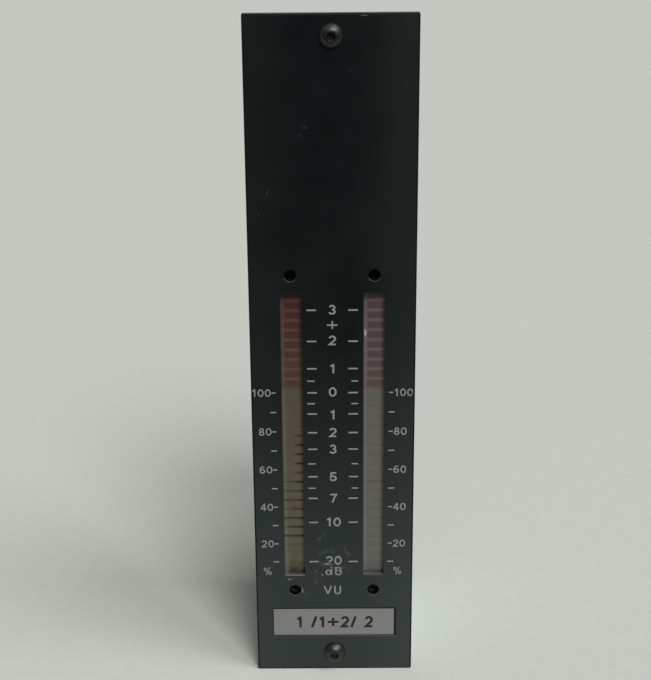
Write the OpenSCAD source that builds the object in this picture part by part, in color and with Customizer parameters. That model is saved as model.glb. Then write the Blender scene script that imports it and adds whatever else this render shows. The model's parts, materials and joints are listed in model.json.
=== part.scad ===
// Stereo LED bar-graph VU meter module for a mixing desk.
// X runs across the panel, Y runs from front to back and Z runs up.
// The origin is the middle of the panel's lower edge, at the panel's back face.

/* [Front panel] */
// Width of the front panel
panel_w = 40; // [38:0.5:60]
// Height of the front panel
panel_h = 170; // [150:1:220]
// Thickness of the front panel
panel_t = 2; // [1.6:0.1:3]

/* [Bars] */
// Distance between the middles of the two bars
bar_spacing = 20; // [18:0.5:26]
// Width of the window in front of each bar
window_w = 5.1; // [4:0.1:6]
// Height of the windows above the lower edge of the panel
window_z = 28; // [26:0.5:40]
// Pitch of the light segments and of every row of pins
pitch = 2.54; // [2:0.02:3]
// Width of a light segment
segment_w = 5.08; // [4:0.02:6]
// Height of a light segment
segment_h = 1.7; // [1:0.1:1.9]
// Width of an LED array package
array_w = 10.16; // [8:0.04:11]
// Depth of an LED array package
array_d = 7; // [6:0.1:9]
// How far the arrays sit to the right of the windows
array_shift = 1; // [0:0.1:1.5]

/* [Trimmers] */
// Side of the square trimmer body
trimmer_w = 6.6; // [5:0.1:8]
// Depth of the trimmer body
trimmer_d = 4.9; // [3:0.1:5.5]
// Diameter of the rotor
rotor_d = 4; // [3:0.1:4.6]
// Depth of the rotor
rotor_t = 1.6; // [1:0.1:2]
// Diameter of the access hole in the panel
access_d = 3; // [2:0.1:4]

/* [Fixing screws] */
// Distance of the fixing screws from the ends of the panel
fixing_inset = 5; // [4:0.1:6]
// Thread diameter of the fixing screws
screw_d = 3; // [2.5:0.1:3.5]
// Diameter of the waist that carries the retaining washer
waist_d = 2.3; // [1.8:0.1:2.4]
// Length of the fixing screws under the head
screw_l = 12; // [9:0.5:16]
// Diameter of the button head
head_d = 5.5; // [5:0.1:7]
// Height of the button head
head_h = 1.65; // [1.4:0.05:2.5]
// Width across the flats of the hexagon socket
socket_af = 2; // [1.5:0.1:2.5]
// How far a fixing screw can be drawn out
screw_travel = 3.9; // [2:0.1:5]
// Diameter of the retaining washer
retainer_d = 7; // [6:0.1:8]
// Thickness of the retaining washer
retainer_t = 1; // [0.6:0.1:1.5]

/* [Name strip] */
// Width of the strip
strip_w = 31.1; // [20:0.1:34]
// Height of the strip
strip_h = 7.7; // [6:0.1:8]
// Height of the strip above the lower edge of the panel
strip_z = 10.3; // [9:0.1:11]
// Depth of the field that holds the strip
field_depth = 0.4; // [0.2:0.05:0.5]

/* [Boards] */
// Thickness of the circuit boards
board_t = 1.6; // [1:0.1:2]
// Clear distance between the two boards
board_gap = 11; // [8:0.5:16]
// Width across the flats of the spacers
spacer_af = 5; // [4.5:0.1:6]
// Diameter of the studs and board screws
stud_d = 2.5; // [2:0.1:3]
// Height of the pin strips
pin_strip_h = 2.5; // [2:0.1:4]
// Width of the pin strips and socket strips
connector_w = 2.5; // [2:0.1:3]

/* [Components] */
// Height of a chip package
chip_t = 3.3; // [2.5:0.1:4]
// Diameter of an electrolytic capacitor
can_d = 6.3; // [5:0.1:8]
// Height of an electrolytic capacitor
can_h = 11; // [8:0.5:16]
// Diameter of a resistor body
resistor_d = 2.3; // [1.6:0.1:2.6]
// Length of a resistor body
resistor_l = 6; // [4:0.1:7]
// Height of a resistor network
network_h = 5.2; // [4:0.1:7]
// Width of the box header
header_w = 8.8; // [8:0.1:11]
// Height of the box header
header_h = 9.1; // [7:0.1:12]

/* [Side plates] */
// Thickness of the side plates
plate_t = 1; // [0.8:0.1:1.5]
// Height of the folded tabs
tab_h = 9.2; // [8:0.1:12]
// Number of slots in each side plate
slot_count = 5; // [3:1:7]
// Diameter of the tie rods
rod_d = 5; // [4:0.1:7]

/* [Hidden] */
$fn = 48;

// Clearances and small shared sizes
cut = 1;
running_gap = 0.05;
hole_gap = 0.1;
part_gap = 1.1;
edge_gap = 0.4;
SIDES = [-1, 1];

// Bars and arrays
segments_per_array = 10;
arrays_per_bar = 3;
bar_x = bar_spacing / 2;
array_l = segments_per_array * pitch;
window_h = arrays_per_bar * array_l;
window_top = window_z + window_h;
array_joint = 0.1;
array_face_gap = 0.2;
segment_depth = 0.6;
segment_proud = 0.05;
function array_mid_z(level) = window_z + (level + 0.5) * array_l;

// Space past each end of the windows, and the rows of fasteners beyond it
amplifier_row = 3 * pitch + 1;
end_zone = max(trimmer_w + 2 * part_gap, header_w, amplifier_row);
trimmer_zs = [window_z - part_gap - trimmer_w / 2, window_top + part_gap + trimmer_w / 2];
tab_mid_zs = [window_z - end_zone - tab_h / 2, window_top + end_zone + tab_h / 2];
rotor_slot_w = 0.6;
rotor_slot_l = 0.7 * rotor_d;
rotor_slot_depth = 0.5 * rotor_t;
board_z = tab_mid_zs[0] - tab_h / 2;
board_top = tab_mid_zs[1] + tab_h / 2;

// Boards from front to back
board_w = bar_spacing + array_w + 2 * (array_shift + edge_gap);
display_y = array_face_gap + array_d;
display_back = display_y + board_t;
driver_y = display_back + board_gap;
driver_back = driver_y + board_t;

// Studs, spacers and screws
stud_inset = 4;
stud_x = board_w / 2 - stud_inset;
stud_lip = 1;
stud_base_d = stud_d + 2 * stud_lip;
stud_base_t = 0.9;
stud_hole_d = stud_d + 2 * hole_gap;
front_spacer_l = display_y - plate_t;
front_thread_l = 0.45 * front_spacer_l;
stud_l = plate_t + front_thread_l;
spacer_stud_l = board_t + front_thread_l;
screw_thread_l = 4;
tapped_l = 6;
pan_head_d = stud_d + 2 * stud_lip;
pan_head_h = 1.6;
pan_slot_w = 0.6;
pan_slot_depth = 0.8;
board_screw_l = plate_t + board_t + screw_thread_l;
module_corners = [for (side = SIDES) for (z = tab_mid_zs) [side * stud_x, z]];

// Fixing screws: the button head is a slice of a ball with a flat in the middle,
// and the shank has a waist that ends at the back of the retaining washer
fixing_zs = [fixing_inset, panel_h - fixing_inset];
head_rim = 0.35;
head_flat_lip = 0.5;
head_flat_d = socket_af + 2 * head_flat_lip;
rim_square = (head_d / 2) ^ 2 + head_rim ^ 2;
flat_square = (head_flat_d / 2) ^ 2 + head_h ^ 2;
ball_back = (rim_square - flat_square) / (2 * (head_h - head_rim));
ball_r = sqrt((head_d / 2) ^ 2 + (head_rim + ball_back) ^ 2);
socket_depth = 0.65 * head_h;
screw_tip = 0.4;
retainer_y = screw_travel + hole_gap;
thread_y = retainer_y + retainer_t + running_gap;
waist_l = panel_t + thread_y;

// Name strip, pushed towards the lower left of its field
strip_t = 0.15;
field_gap = 0.3;
strip_push = 0.15;

// Stacking connectors
contact_count = segments_per_array * arrays_per_bar;
connector_l = contact_count * pitch - array_joint;
connector_x = board_w / 2 - connector_w / 2 - hole_gap;
pin_w = 0.64;
socket_strip_h = board_gap - pin_strip_h;
stacking_pin_l = pin_strip_h + 0.6 * socket_strip_h;

// Chips
chip_w = 2.5 * pitch;
chip_lift = 0.5;
leg_t = 0.3;
leg_w = 0.6;
leg_shoulder_w = 1.3;
leg_row = 3 * pitch;
driver_legs = 9;
amplifier_legs = 4;
amplifier_x = amplifier_legs * pitch / 2 + 2 * part_gap;
notch_d = 1.4;
notch_depth = 0.4;

// Resistors, networks, capacitors and the box header
network_w = 2.5;
network_l = driver_legs * pitch - edge_gap;
lead_d = 0.6;
lead_reach = 1.4;
resistor_x = network_w / 2 + part_gap + resistor_d / 2;
resistor_step = array_l / 4;
can_x = can_d / 2 + part_gap;
can_groove = 0.4;
film_w = 2.5;
film_h = 6.5;
film_l = 7.2;
header_pairs = 5;
header_wall = 1.2;
header_floor = 2.2;
header_end = 3.8;
header_l = header_pairs * pitch + 2 * header_end;
header_key_w = 4.5;
header_pin_l = header_h - header_wall;
header_z = window_top + end_zone / 2;
film_x = header_l / 2 + part_gap + film_w / 2;

// Side plates
plate_gap = 0.2;
plate_x = board_w / 2 + plate_gap;
plate_h = board_top + part_gap;
plate_corner_r = 4;
rod_edge = 1.5;
rod_y = driver_back + can_h + part_gap + rod_d / 2;
plate_depth = rod_y + rod_d / 2 + rod_edge;
tab_reach = 3.1;
tab_w = plate_x - stud_x + tab_reach;
slot_web = 5;
slot_margin = 6;
slot_h = window_h / slot_count - slot_web;
slot_l = plate_depth - 2 * slot_margin - slot_h;
rod_screw_l = plate_t + screw_thread_l;

// Box centred on X and Z that starts at Y = 0 and runs back
module block(w, d, h) {
    translate([-w / 2, 0, -h / 2])
        cube([w, d, h]);
}

// Round bar along Y that starts at Y = 0
module bar_y(d, l) {
    rotate([-90, 0, 0])
        cylinder(d = d, h = l);
}

// Hexagon bar along Y that starts at Y = 0
module hexagon_y(af, l) {
    rotate([-90, 0, 0])
        cylinder(d = af / cos(30), h = l, $fn = 6);
}

// Slotted pan-head screw whose head starts at Y = 0 and whose shank runs towards -Y
module pan_screw(l) {
    difference() {
        bar_y(pan_head_d, pan_head_h);
        translate([0, pan_head_h - pan_slot_depth, 0])
            block(pan_slot_w, pan_slot_depth + cut, pan_head_d + cut);
    }
    translate([0, -l, 0])
        bar_y(stud_d, l);
}

module front_panel() {
    color("#24292a")
    difference() {
        translate([0, -panel_t, panel_h / 2])
            block(panel_w, panel_t, panel_h);
        for (side = SIDES) {
            translate([side * bar_x, -panel_t - cut, window_z + window_h / 2])
                block(window_w, panel_t + 2 * cut, window_h);
            for (z = trimmer_zs)
                translate([side * bar_x, -panel_t - cut, z])
                    bar_y(access_d, panel_t + 2 * cut);
        }
        for (z = fixing_zs)
            translate([0, -panel_t - cut, z])
                bar_y(screw_d + 2 * hole_gap, panel_t + 2 * cut);
        translate([0, -panel_t - cut, strip_z + strip_h / 2])
            block(strip_w + 2 * field_gap, cut + field_depth, strip_h + 2 * field_gap);
        for (corner = module_corners)
            translate([corner[0], -stud_base_t, corner[1]])
                bar_y(stud_base_d + 2 * running_gap, stud_base_t + cut);
    }
}

module name_strip() {
    color("#8d8b88")
    translate([-strip_push, field_depth - strip_t - panel_t, strip_z + strip_h / 2 - strip_push])
        block(strip_w, strip_t, strip_h);
}

module fixing_screw(z) {
    color("#1d1f20")
    translate([0, -panel_t, z]) {
        difference() {
            intersection() {
                translate([0, -head_h, 0])
                    bar_y(head_d, head_h);
                translate([0, ball_back, 0])
                    sphere(r = ball_r);
            }
            translate([0, -head_h - cut, 0])
                hexagon_y(socket_af, cut + socket_depth);
        }
        bar_y(waist_d, waist_l);
        translate([0, waist_l, 0])
            bar_y(screw_d, screw_l - waist_l - screw_tip);
        translate([0, screw_l - screw_tip, 0])
            rotate([-90, 0, 0])
                cylinder(d1 = screw_d, d2 = screw_d - 2 * screw_tip, h = screw_tip);
    }
}

module screw_retainer(z) {
    color("#e6e3d8")
    translate([0, retainer_y, z])
        difference() {
            bar_y(retainer_d, retainer_t);
            translate([0, -cut, 0])
                bar_y(waist_d + 2 * running_gap, retainer_t + 2 * cut);
        }
}

// Light segments of one array, used for the pockets as well
module segment_row(side, level, y, depth) {
    for (i = [0 : segments_per_array - 1])
        translate([
            side * bar_x + array_shift,
            y,
            window_z + level * array_l + (i + 0.5) * pitch
        ])
            block(segment_w, depth, segment_h);
}

module led_array(side, level) {
    color(level == 2 ? "#7c3a36" : "#a49a86")
    difference() {
        translate([side * bar_x + array_shift, array_face_gap, array_mid_z(level)])
            block(array_w, array_d, array_l - array_joint);
        segment_row(side, level, array_face_gap - cut, cut + segment_depth);
    }
}

module led_segments(side, level) {
    color(level == 2 ? "#a8655f" : "#8f8878")
    segment_row(side, level, array_face_gap - segment_proud, segment_depth + segment_proud);
}

module trimmer(side, end) {
    color("#23262b")
    translate([side * bar_x, display_y - trimmer_d, trimmer_zs[end]])
        difference() {
            block(trimmer_w, trimmer_d, trimmer_w);
            translate([0, -cut, 0])
                bar_y(rotor_d + 2 * running_gap, cut + rotor_t + running_gap);
        }
}

module rotor(side, end) {
    color("#2b2d30")
    translate([side * bar_x, display_y - trimmer_d, trimmer_zs[end]])
        difference() {
            bar_y(rotor_d, rotor_t);
            for (turn = [0, 90])
                rotate([0, turn, 0])
                    translate([0, -cut, 0])
                        block(rotor_slot_w, cut + rotor_slot_depth, rotor_slot_l);
        }
}

// Board blank with a clearance hole at each corner
module board(y) {
    difference() {
        translate([0, y, (board_z + board_top) / 2])
            block(board_w, board_t, board_top - board_z);
        for (corner = module_corners)
            translate([corner[0], y - cut, corner[1]])
                bar_y(stud_hole_d, board_t + 2 * cut);
    }
}

module display_board() {
    color("#2e6b3e")
    board(display_y);
}

module driver_board() {
    color("#2e6b3e")
    board(driver_y);
}

module panel_studs() {
    color("#b9bcbd")
    for (corner = module_corners)
        translate([corner[0], 0, corner[1]]) {
            translate([0, -stud_base_t, 0])
                bar_y(stud_base_d, stud_base_t);
            bar_y(stud_d, stud_l);
        }
}

module front_spacers() {
    color("#c8b26a")
    for (corner = module_corners)
        translate([corner[0], plate_t, corner[1]])
            difference() {
                hexagon_y(spacer_af, front_spacer_l);
                translate([0, -cut, 0])
                    bar_y(stud_hole_d, front_spacer_l + 2 * cut);
            }
}

module rear_spacers() {
    color("#c8b26a")
    for (corner = module_corners)
        translate([corner[0], display_back, corner[1]]) {
            difference() {
                hexagon_y(spacer_af, board_gap);
                translate([0, board_gap - tapped_l, 0])
                    bar_y(stud_hole_d, tapped_l + cut);
            }
            translate([0, -spacer_stud_l, 0])
                bar_y(stud_d, spacer_stud_l);
        }
}

module board_screws() {
    color("#c4c6c6")
    for (corner = module_corners)
        translate([corner[0], driver_back + plate_t, corner[1]])
            pan_screw(board_screw_l);
}

// Square pins of one stacking connector, used for the holes as well
module pin_row(side, y, l) {
    for (i = [0 : contact_count - 1])
        translate([side * connector_x, y, window_z + (i + 0.5) * pitch])
            block(pin_w, l, pin_w);
}

module pin_strip(side) {
    color("#1c1c1d")
    difference() {
        translate([side * connector_x, display_back, window_z + window_h / 2])
            block(connector_w, pin_strip_h, connector_l);
        pin_row(side, display_back - cut, pin_strip_h + 2 * cut);
    }
}

module socket_strip(side) {
    color("#232325")
    difference() {
        translate([side * connector_x, display_back + pin_strip_h, window_z + window_h / 2])
            block(connector_w, socket_strip_h, connector_l);
        pin_row(side, display_back, stacking_pin_l + hole_gap);
    }
}

module stacking_pins() {
    color("#d3b563")
    for (side = SIDES)
        pin_row(side, display_back, stacking_pin_l);
}

// Dual in-line chip that stands on the driver board, its legs in two rows along Z
module chip(legs) {
    l = legs * pitch - edge_gap;
    leg_y = chip_lift + chip_t / 2;
    difference() {
        translate([0, chip_lift, 0])
            block(chip_w, chip_t, l);
        translate([0, chip_lift + chip_t - notch_depth, l / 2])
            bar_y(notch_d, notch_depth + cut);
    }
    for (side = SIDES)
        for (i = [0 : legs - 1])
            translate([0, 0, (i - (legs - 1) / 2) * pitch]) {
                translate([side * (chip_w / 2 + leg_row / 2) / 2, leg_y, 0])
                    block(leg_row / 2 - chip_w / 2 + leg_t, leg_t, leg_shoulder_w);
                translate([side * leg_row / 2, 0, 0])
                    block(leg_t, leg_y + leg_t, leg_w);
            }
}

module driver_chip(side, level) {
    color("#1f2022")
    translate([side * bar_x, driver_back, array_mid_z(level)])
        chip(driver_legs);
}

module amplifier(side) {
    color("#1f2022")
    translate([side * amplifier_x, driver_back, window_z - end_zone / 2])
        rotate([0, 90, 0])
            chip(amplifier_legs);
}

module resistor_networks() {
    color("#b3902f")
    for (level = [0 : arrays_per_bar - 1])
        translate([0, driver_back, array_mid_z(level)])
            block(network_w, network_h, network_l);
}

// Resistor that lies along Z with both leads bent down to the board
module resistor() {
    axis_y = resistor_d / 2 + running_gap;
    lead_l = resistor_l + 2 * lead_reach;
    translate([0, axis_y, -resistor_l / 2])
        cylinder(d = resistor_d, h = resistor_l);
    translate([0, axis_y, -lead_l / 2])
        cylinder(d = lead_d, h = lead_l);
    for (end = SIDES)
        translate([0, 0, end * (lead_l / 2 - lead_d / 2)])
            bar_y(lead_d, axis_y);
}

module resistors() {
    color("#c9b48a")
    for (side = SIDES)
        for (level = [0 : arrays_per_bar - 1])
            for (half = SIDES)
                translate([side * resistor_x, driver_back, array_mid_z(level) + half * resistor_step])
                    resistor();
}

// Electrolytic cans with the rolled groove near the foot
module electrolytic_capacitors() {
    groove_y = 0.15 * can_h;
    color("#2a3f73")
    for (side = SIDES)
        for (z = tab_mid_zs)
            translate([side * can_x, driver_back, z]) {
                bar_y(can_d, groove_y);
                translate([0, groove_y, 0])
                    bar_y(can_d - 2 * can_groove, can_groove);
                translate([0, groove_y + can_groove, 0])
                    bar_y(can_d, can_h - groove_y - can_groove);
            }
}

module film_capacitors() {
    color("#b5482f")
    for (side = SIDES)
        translate([side * film_x, driver_back, header_z])
            block(film_w, film_h, film_l);
}

// Pins of the box header, used for the holes as well
module header_pin_rows(y, l) {
    for (row = SIDES)
        for (i = [0 : header_pairs - 1])
            translate([(i - (header_pairs - 1) / 2) * pitch, driver_back + y, header_z + row * pitch / 2])
                block(pin_w, l, pin_w);
}

module box_header() {
    cavity_h = header_h - header_floor;
    color("#202123")
    difference() {
        translate([0, driver_back, header_z])
            block(header_l, header_h, header_w);
        translate([0, driver_back + header_floor, header_z])
            block(header_l - 2 * header_wall, cavity_h + cut, header_w - 2 * header_wall);
        translate([0, driver_back + header_floor, header_z - header_w / 2])
            block(header_key_w, cavity_h + cut, 3 * header_wall);
        header_pin_rows(-cut, header_floor + 2 * cut);
    }
}

module header_pins() {
    color("#d3b563")
    header_pin_rows(0, header_pin_l);
}

// Outline of a side plate with its back corners rounded, its slots and the tie rods' holes
module plate_outline() {
    difference() {
        square([plate_depth, plate_h]);
        for (end = SIDES)
            translate([plate_depth - plate_corner_r, plate_h / 2 + end * (plate_h / 2 - plate_corner_r)])
                difference() {
                    translate([0, end > 0 ? 0 : -plate_corner_r - cut])
                        square(plate_corner_r + cut);
                    circle(r = plate_corner_r);
                }
        for (i = [0 : slot_count - 1])
            translate([plate_depth / 2, window_z + (i + 0.5) * (slot_h + slot_web)]) {
                square([slot_l, slot_h], center = true);
                for (end = SIDES)
                    translate([end * slot_l / 2, 0])
                        circle(d = slot_h);
            }
        for (z = tab_mid_zs)
            translate([rod_y, z])
                circle(d = stud_hole_d);
    }
}

// Side plate with four tabs folded inwards, two on the panel and two behind the driver board
module side_plate(side) {
    color("#c9cccd")
    difference() {
        union() {
            translate([side * (plate_x + plate_t / 2) - plate_t / 2, 0, 0])
                rotate([90, 0, 90])
                    linear_extrude(plate_t)
                        plate_outline();
            for (z = tab_mid_zs)
                for (y = [0, driver_back])
                    translate([side * (plate_x - tab_w / 2 + plate_t / 2), y, z])
                        block(tab_w + plate_t, plate_t, tab_h);
        }
        for (z = tab_mid_zs)
            translate([side * stud_x, -cut, z])
                bar_y(stud_hole_d, driver_back + plate_t + 2 * cut);
    }
}

module tie_rod(z) {
    color("#c9cccd")
    translate([0, rod_y, z])
        rotate([0, 90, 0])
            difference() {
                cylinder(d = rod_d, h = 2 * plate_x, center = true);
                for (side = SIDES)
                    translate([0, 0, side * (plate_x - tapped_l / 2 + cut / 2)])
                        cylinder(d = stud_hole_d, h = tapped_l + cut, center = true);
            }
}

module tie_rod_screws() {
    color("#c4c6c6")
    for (side = SIDES)
        for (z = tab_mid_zs)
            translate([side * (plate_x + plate_t), rod_y, z])
                rotate([0, 0, -side * 90])
                    pan_screw(rod_screw_l);
}

BAR_NAMES = ["left", "right"];
END_NAMES = ["lower", "upper"];
ARRAY_NAMES = ["lower", "middle", "red"];
DRIVER_NAMES = ["lower", "middle", "upper"];

front_panel();
name_strip();
fixing_screw(fixing_zs[1]);  // top_fixing_screw
fixing_screw(fixing_zs[0]);  // bottom_fixing_screw
screw_retainer(fixing_zs[1]);  // top_screw_retainer
screw_retainer(fixing_zs[0]);  // bottom_screw_retainer
for (bar = [0, 1])
    for (level = [0 : arrays_per_bar - 1]) {
        led_array(SIDES[bar], level);
        led_segments(SIDES[bar], level);
        driver_chip(SIDES[bar], level);
    }
for (bar = [0, 1])
    for (end = [0, 1]) {
        trimmer(SIDES[bar], end);
        rotor(SIDES[bar], end);
    }
display_board();
driver_board();
panel_studs();
front_spacers();
rear_spacers();
board_screws();
pin_strip(-1);  // left_pin_strip
pin_strip(1);  // right_pin_strip
socket_strip(-1);  // left_socket_strip
socket_strip(1);  // right_socket_strip
stacking_pins();
amplifier(-1);  // left_amplifier
amplifier(1);  // right_amplifier
resistor_networks();
resistors();
electrolytic_capacitors();
film_capacitors();
box_header();
header_pins();
side_plate(-1);  // left_side_plate
side_plate(1);  // right_side_plate
tie_rod(tab_mid_zs[0]);  // lower_tie_rod
tie_rod(tab_mid_zs[1]);  // upper_tie_rod
tie_rod_screws();
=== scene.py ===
"""Stereo LED bar-graph VU meter module: its looks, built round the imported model.

Sizes are written in millimetres and turned to metres by MM. X runs to the right, Y to the back and
Z up, with the origin at the middle of the panel's lower edge, on the panel's back face.
"""
import json
from math import cos, radians, sin, tau
from random import Random

import bmesh
import bpy
from mathutils import Matrix, Vector
from mathutils.geometry import delaunay_2d_cdt


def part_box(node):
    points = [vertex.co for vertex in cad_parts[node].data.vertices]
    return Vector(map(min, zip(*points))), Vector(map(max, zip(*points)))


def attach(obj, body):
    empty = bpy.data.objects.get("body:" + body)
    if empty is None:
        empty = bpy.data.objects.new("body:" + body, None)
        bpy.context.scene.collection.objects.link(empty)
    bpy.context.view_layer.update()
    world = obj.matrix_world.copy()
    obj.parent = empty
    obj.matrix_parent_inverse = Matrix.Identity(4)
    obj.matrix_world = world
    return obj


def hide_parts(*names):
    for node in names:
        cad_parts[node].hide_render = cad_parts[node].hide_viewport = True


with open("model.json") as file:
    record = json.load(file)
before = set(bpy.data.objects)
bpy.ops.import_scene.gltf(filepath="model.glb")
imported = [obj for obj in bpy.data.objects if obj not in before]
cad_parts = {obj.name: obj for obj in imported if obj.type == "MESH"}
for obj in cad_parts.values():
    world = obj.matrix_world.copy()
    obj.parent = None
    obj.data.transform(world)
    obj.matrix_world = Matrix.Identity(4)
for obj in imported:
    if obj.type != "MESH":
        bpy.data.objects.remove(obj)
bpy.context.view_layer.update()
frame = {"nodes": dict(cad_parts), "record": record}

MM = 0.001
SIDES = (-1, 1)
BARS = ("left", "right")
LEVELS = ("lower", "middle", "upper")
ENDS = ("lower", "upper")
scene = bpy.context.scene
dice = Random(30)


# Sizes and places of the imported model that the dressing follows

def box_mm(node):
    """Lowest and highest corner of a CAD node at rest."""
    return [[round(c / MM, 3) for c in corner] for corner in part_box(node)]


def middle_mm(node):
    return [round((low + high) / 2, 3) for low, high in zip(*box_mm(node))]


def span_mm(node):
    return [round(high - low, 3) for low, high in zip(*box_mm(node))]


PITCH, SEGMENTS = 2.54, 30
WINDOW_W, LAMP_H, ACCESS_R = 5.1, 1.7, 1.5
PANEL_W, _, PANEL_H = span_mm("front_panel")
PANEL_FRONT = box_mm("front_panel")[0][1]
BAR_X = middle_mm("upper_right_trimmer")[0]
ACCESS_ZS = [middle_mm(f"{end}_right_trimmer")[2] for end in ENDS]
LEVEL_ZS = [middle_mm(f"right_{row}_driver")[2] for row in LEVELS]
WINDOW_Z = round(LEVEL_ZS[1] - SEGMENTS / 2 * PITCH, 3)
ARRAY_SHIFT = middle_mm("right_lower_array")[0] - BAR_X
ARRAY_FRONT = box_mm("right_lower_array")[0][1]
SEGMENT_W = span_mm("right_lower_segments")[0]
STRIP_X, STRIP_Z = middle_mm("name_strip")[::2]
STRIP_FRONT = box_mm("name_strip")[0][1]
DISPLAY_BACK = box_mm("display_board")[1][1]
DRIVER_FRONT, DRIVER_BACK = (corner[1] for corner in box_mm("driver_board"))
FIXING_ZS = {end: middle_mm(f"{end}_fixing_screw")[2] for end in ("bottom", "top")}
CORNER_ZS = [middle_mm(f"{end}_tie_rod")[2] for end in ENDS]


# Camera, worked out from the corners of the panel, its windows and its screws in the photograph

CAMERA_AT = Vector((-0.175, -341.855, 222.385)) * MM
PITCH_DOWN, YAW, ROLL = radians(20.947), radians(-0.2619), radians(-0.4494)
FOCAL_PX, LONG_SIDE_PX, SENSOR = 1513.54, 680, 36.0

ahead = Vector((sin(YAW) * cos(PITCH_DOWN), cos(YAW) * cos(PITCH_DOWN), -sin(PITCH_DOWN)))
level = Vector((cos(YAW), -sin(YAW), 0))
plumb = level.cross(ahead)
right = level * cos(ROLL) + plumb * sin(ROLL)
up = plumb * cos(ROLL) - level * sin(ROLL)
lens = bpy.data.cameras.new("camera")
lens.sensor_width = SENSOR
lens.lens = FOCAL_PX / LONG_SIDE_PX * SENSOR
camera = bpy.data.objects.new("camera", lens)
camera.matrix_world = Matrix.Translation(CAMERA_AT) @ Matrix((right, up, -ahead)).transposed().to_4x4()
scene.collection.objects.link(camera)
scene.camera = camera
scene.view_settings.view_transform = "Standard"


# Shader helpers

def srgb(code):
    """Linear colour of an sRGB hex value."""
    parts = [int(code[i:i + 2], 16) / 255 for i in (1, 3, 5)]
    return [p / 12.92 if p <= 0.04045 else ((p + 0.055) / 1.055) ** 2.4 for p in parts] + [1.0]


def per_mm(size):
    """Texture scale whose features come out at this size in millimetres."""
    return 1 / (size * MM)


def add(tree, kind, inputs=None, **settings):
    """Adds a shader node: settings are its own, inputs are constants or the outputs to link."""
    made = tree.nodes.new("ShaderNode" + kind)
    for name, value in settings.items():
        setattr(made, name, value)
    for name, value in (inputs or {}).items():
        if isinstance(value, bpy.types.NodeSocket):
            tree.links.new(value, made.inputs[name])
        else:
            made.inputs[name].default_value = value
    return made


def start(name, constants):
    """A new material with its constants set on the shader, and the piece's own coordinates."""
    made = bpy.data.materials.new(name)
    made.use_nodes = True
    tree = made.node_tree
    shader = tree.nodes["Principled BSDF"]
    for socket, value in constants.items():
        shader.inputs[socket].default_value = value
    return made, tree, shader, add(tree, "TexCoord").outputs["Object"]


def raise_grain(tree, shader, place, grain, depth, detail=3.0):
    """Gives a surface a fine grain, whose size and height are in millimetres."""
    tooth = add(tree, "TexNoise", {"Vector": place, "Scale": per_mm(grain), "Detail": detail})
    relief = add(tree, "Bump", {"Height": tooth.outputs[0], "Distance": depth * MM, "Strength": 1.0})
    tree.links.new(relief.outputs[0], shader.inputs["Normal"])


def near_spot(tree, place, spot, inner, outer, strength, fall):
    """Strength round a spot on the panel's front: whole within inner and gone at outer, in millimetres."""
    x, z = spot
    away = add(tree, "VectorMath", {0: place, 1: (x * MM, PANEL_FRONT * MM, z * MM)}, operation="DISTANCE")
    near = add(tree, "MapRange",
               {0: away.outputs["Value"], 1: inner * MM, 2: outer * MM, 3: strength, 4: 0.0},
               interpolation_type=fall)
    return near.outputs[0]


def speckled(name, colour_a, colour_b, patch, grain, depth, constants, rough=None):
    """A finish of two close colours in soft patches, with a fine grain that stands up from it.

    patch and grain are sizes in millimetres, depth is the grain's height, and rough, where it is
    given, is the span that the roughness wanders over.
    """
    made, tree, shader, place = start(name, constants)
    cloud = add(tree, "TexNoise", {"Vector": place, "Scale": per_mm(patch), "Detail": 4.0})
    tint = add(tree, "Mix", {0: cloud.outputs[0], 6: srgb(colour_a), 7: srgb(colour_b)}, data_type="RGBA")
    tree.links.new(tint.outputs[2], shader.inputs["Base Color"])
    raise_grain(tree, shader, place, grain, depth)
    if rough:
        span = add(tree, "MapRange", {0: cloud.outputs[0], 1: 0.3, 2: 0.7, 3: rough[0], 4: rough[1]})
        tree.links.new(span.outputs[0], shader.inputs["Roughness"])
    return made


# Finishes of the front

# X over which the enamel's colour grows lighter towards each side, and by how much
LIGHTER_SIDES = ((4, 20, 0.8), (-8, -20, 0.3))
# X and Z of each scuff, and how far its smudge reaches
SCUFFS = (
    ((-6.3, 143.3), 2.0),
    ((-15.9, 129.4), 2.2),
    ((-1.5, 32.5), 4.5),
    ((2.2, 30.5), 3.5),
    ((-4.4, 26.5), 2.2),
    ((-3.2, 39.0), 2.0),
    ((-7.0, 22.6), 1.5),
)
# Places where the print is rubbed: X and Z, the reaches of full and of no wear, and the strength
INK_WEAR = (
    ((-0.5, 29.5), 1.5, 5.0, 0.16),
    ((19.8, 78.0), 0.45, 1.0, 0.4),
)


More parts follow.
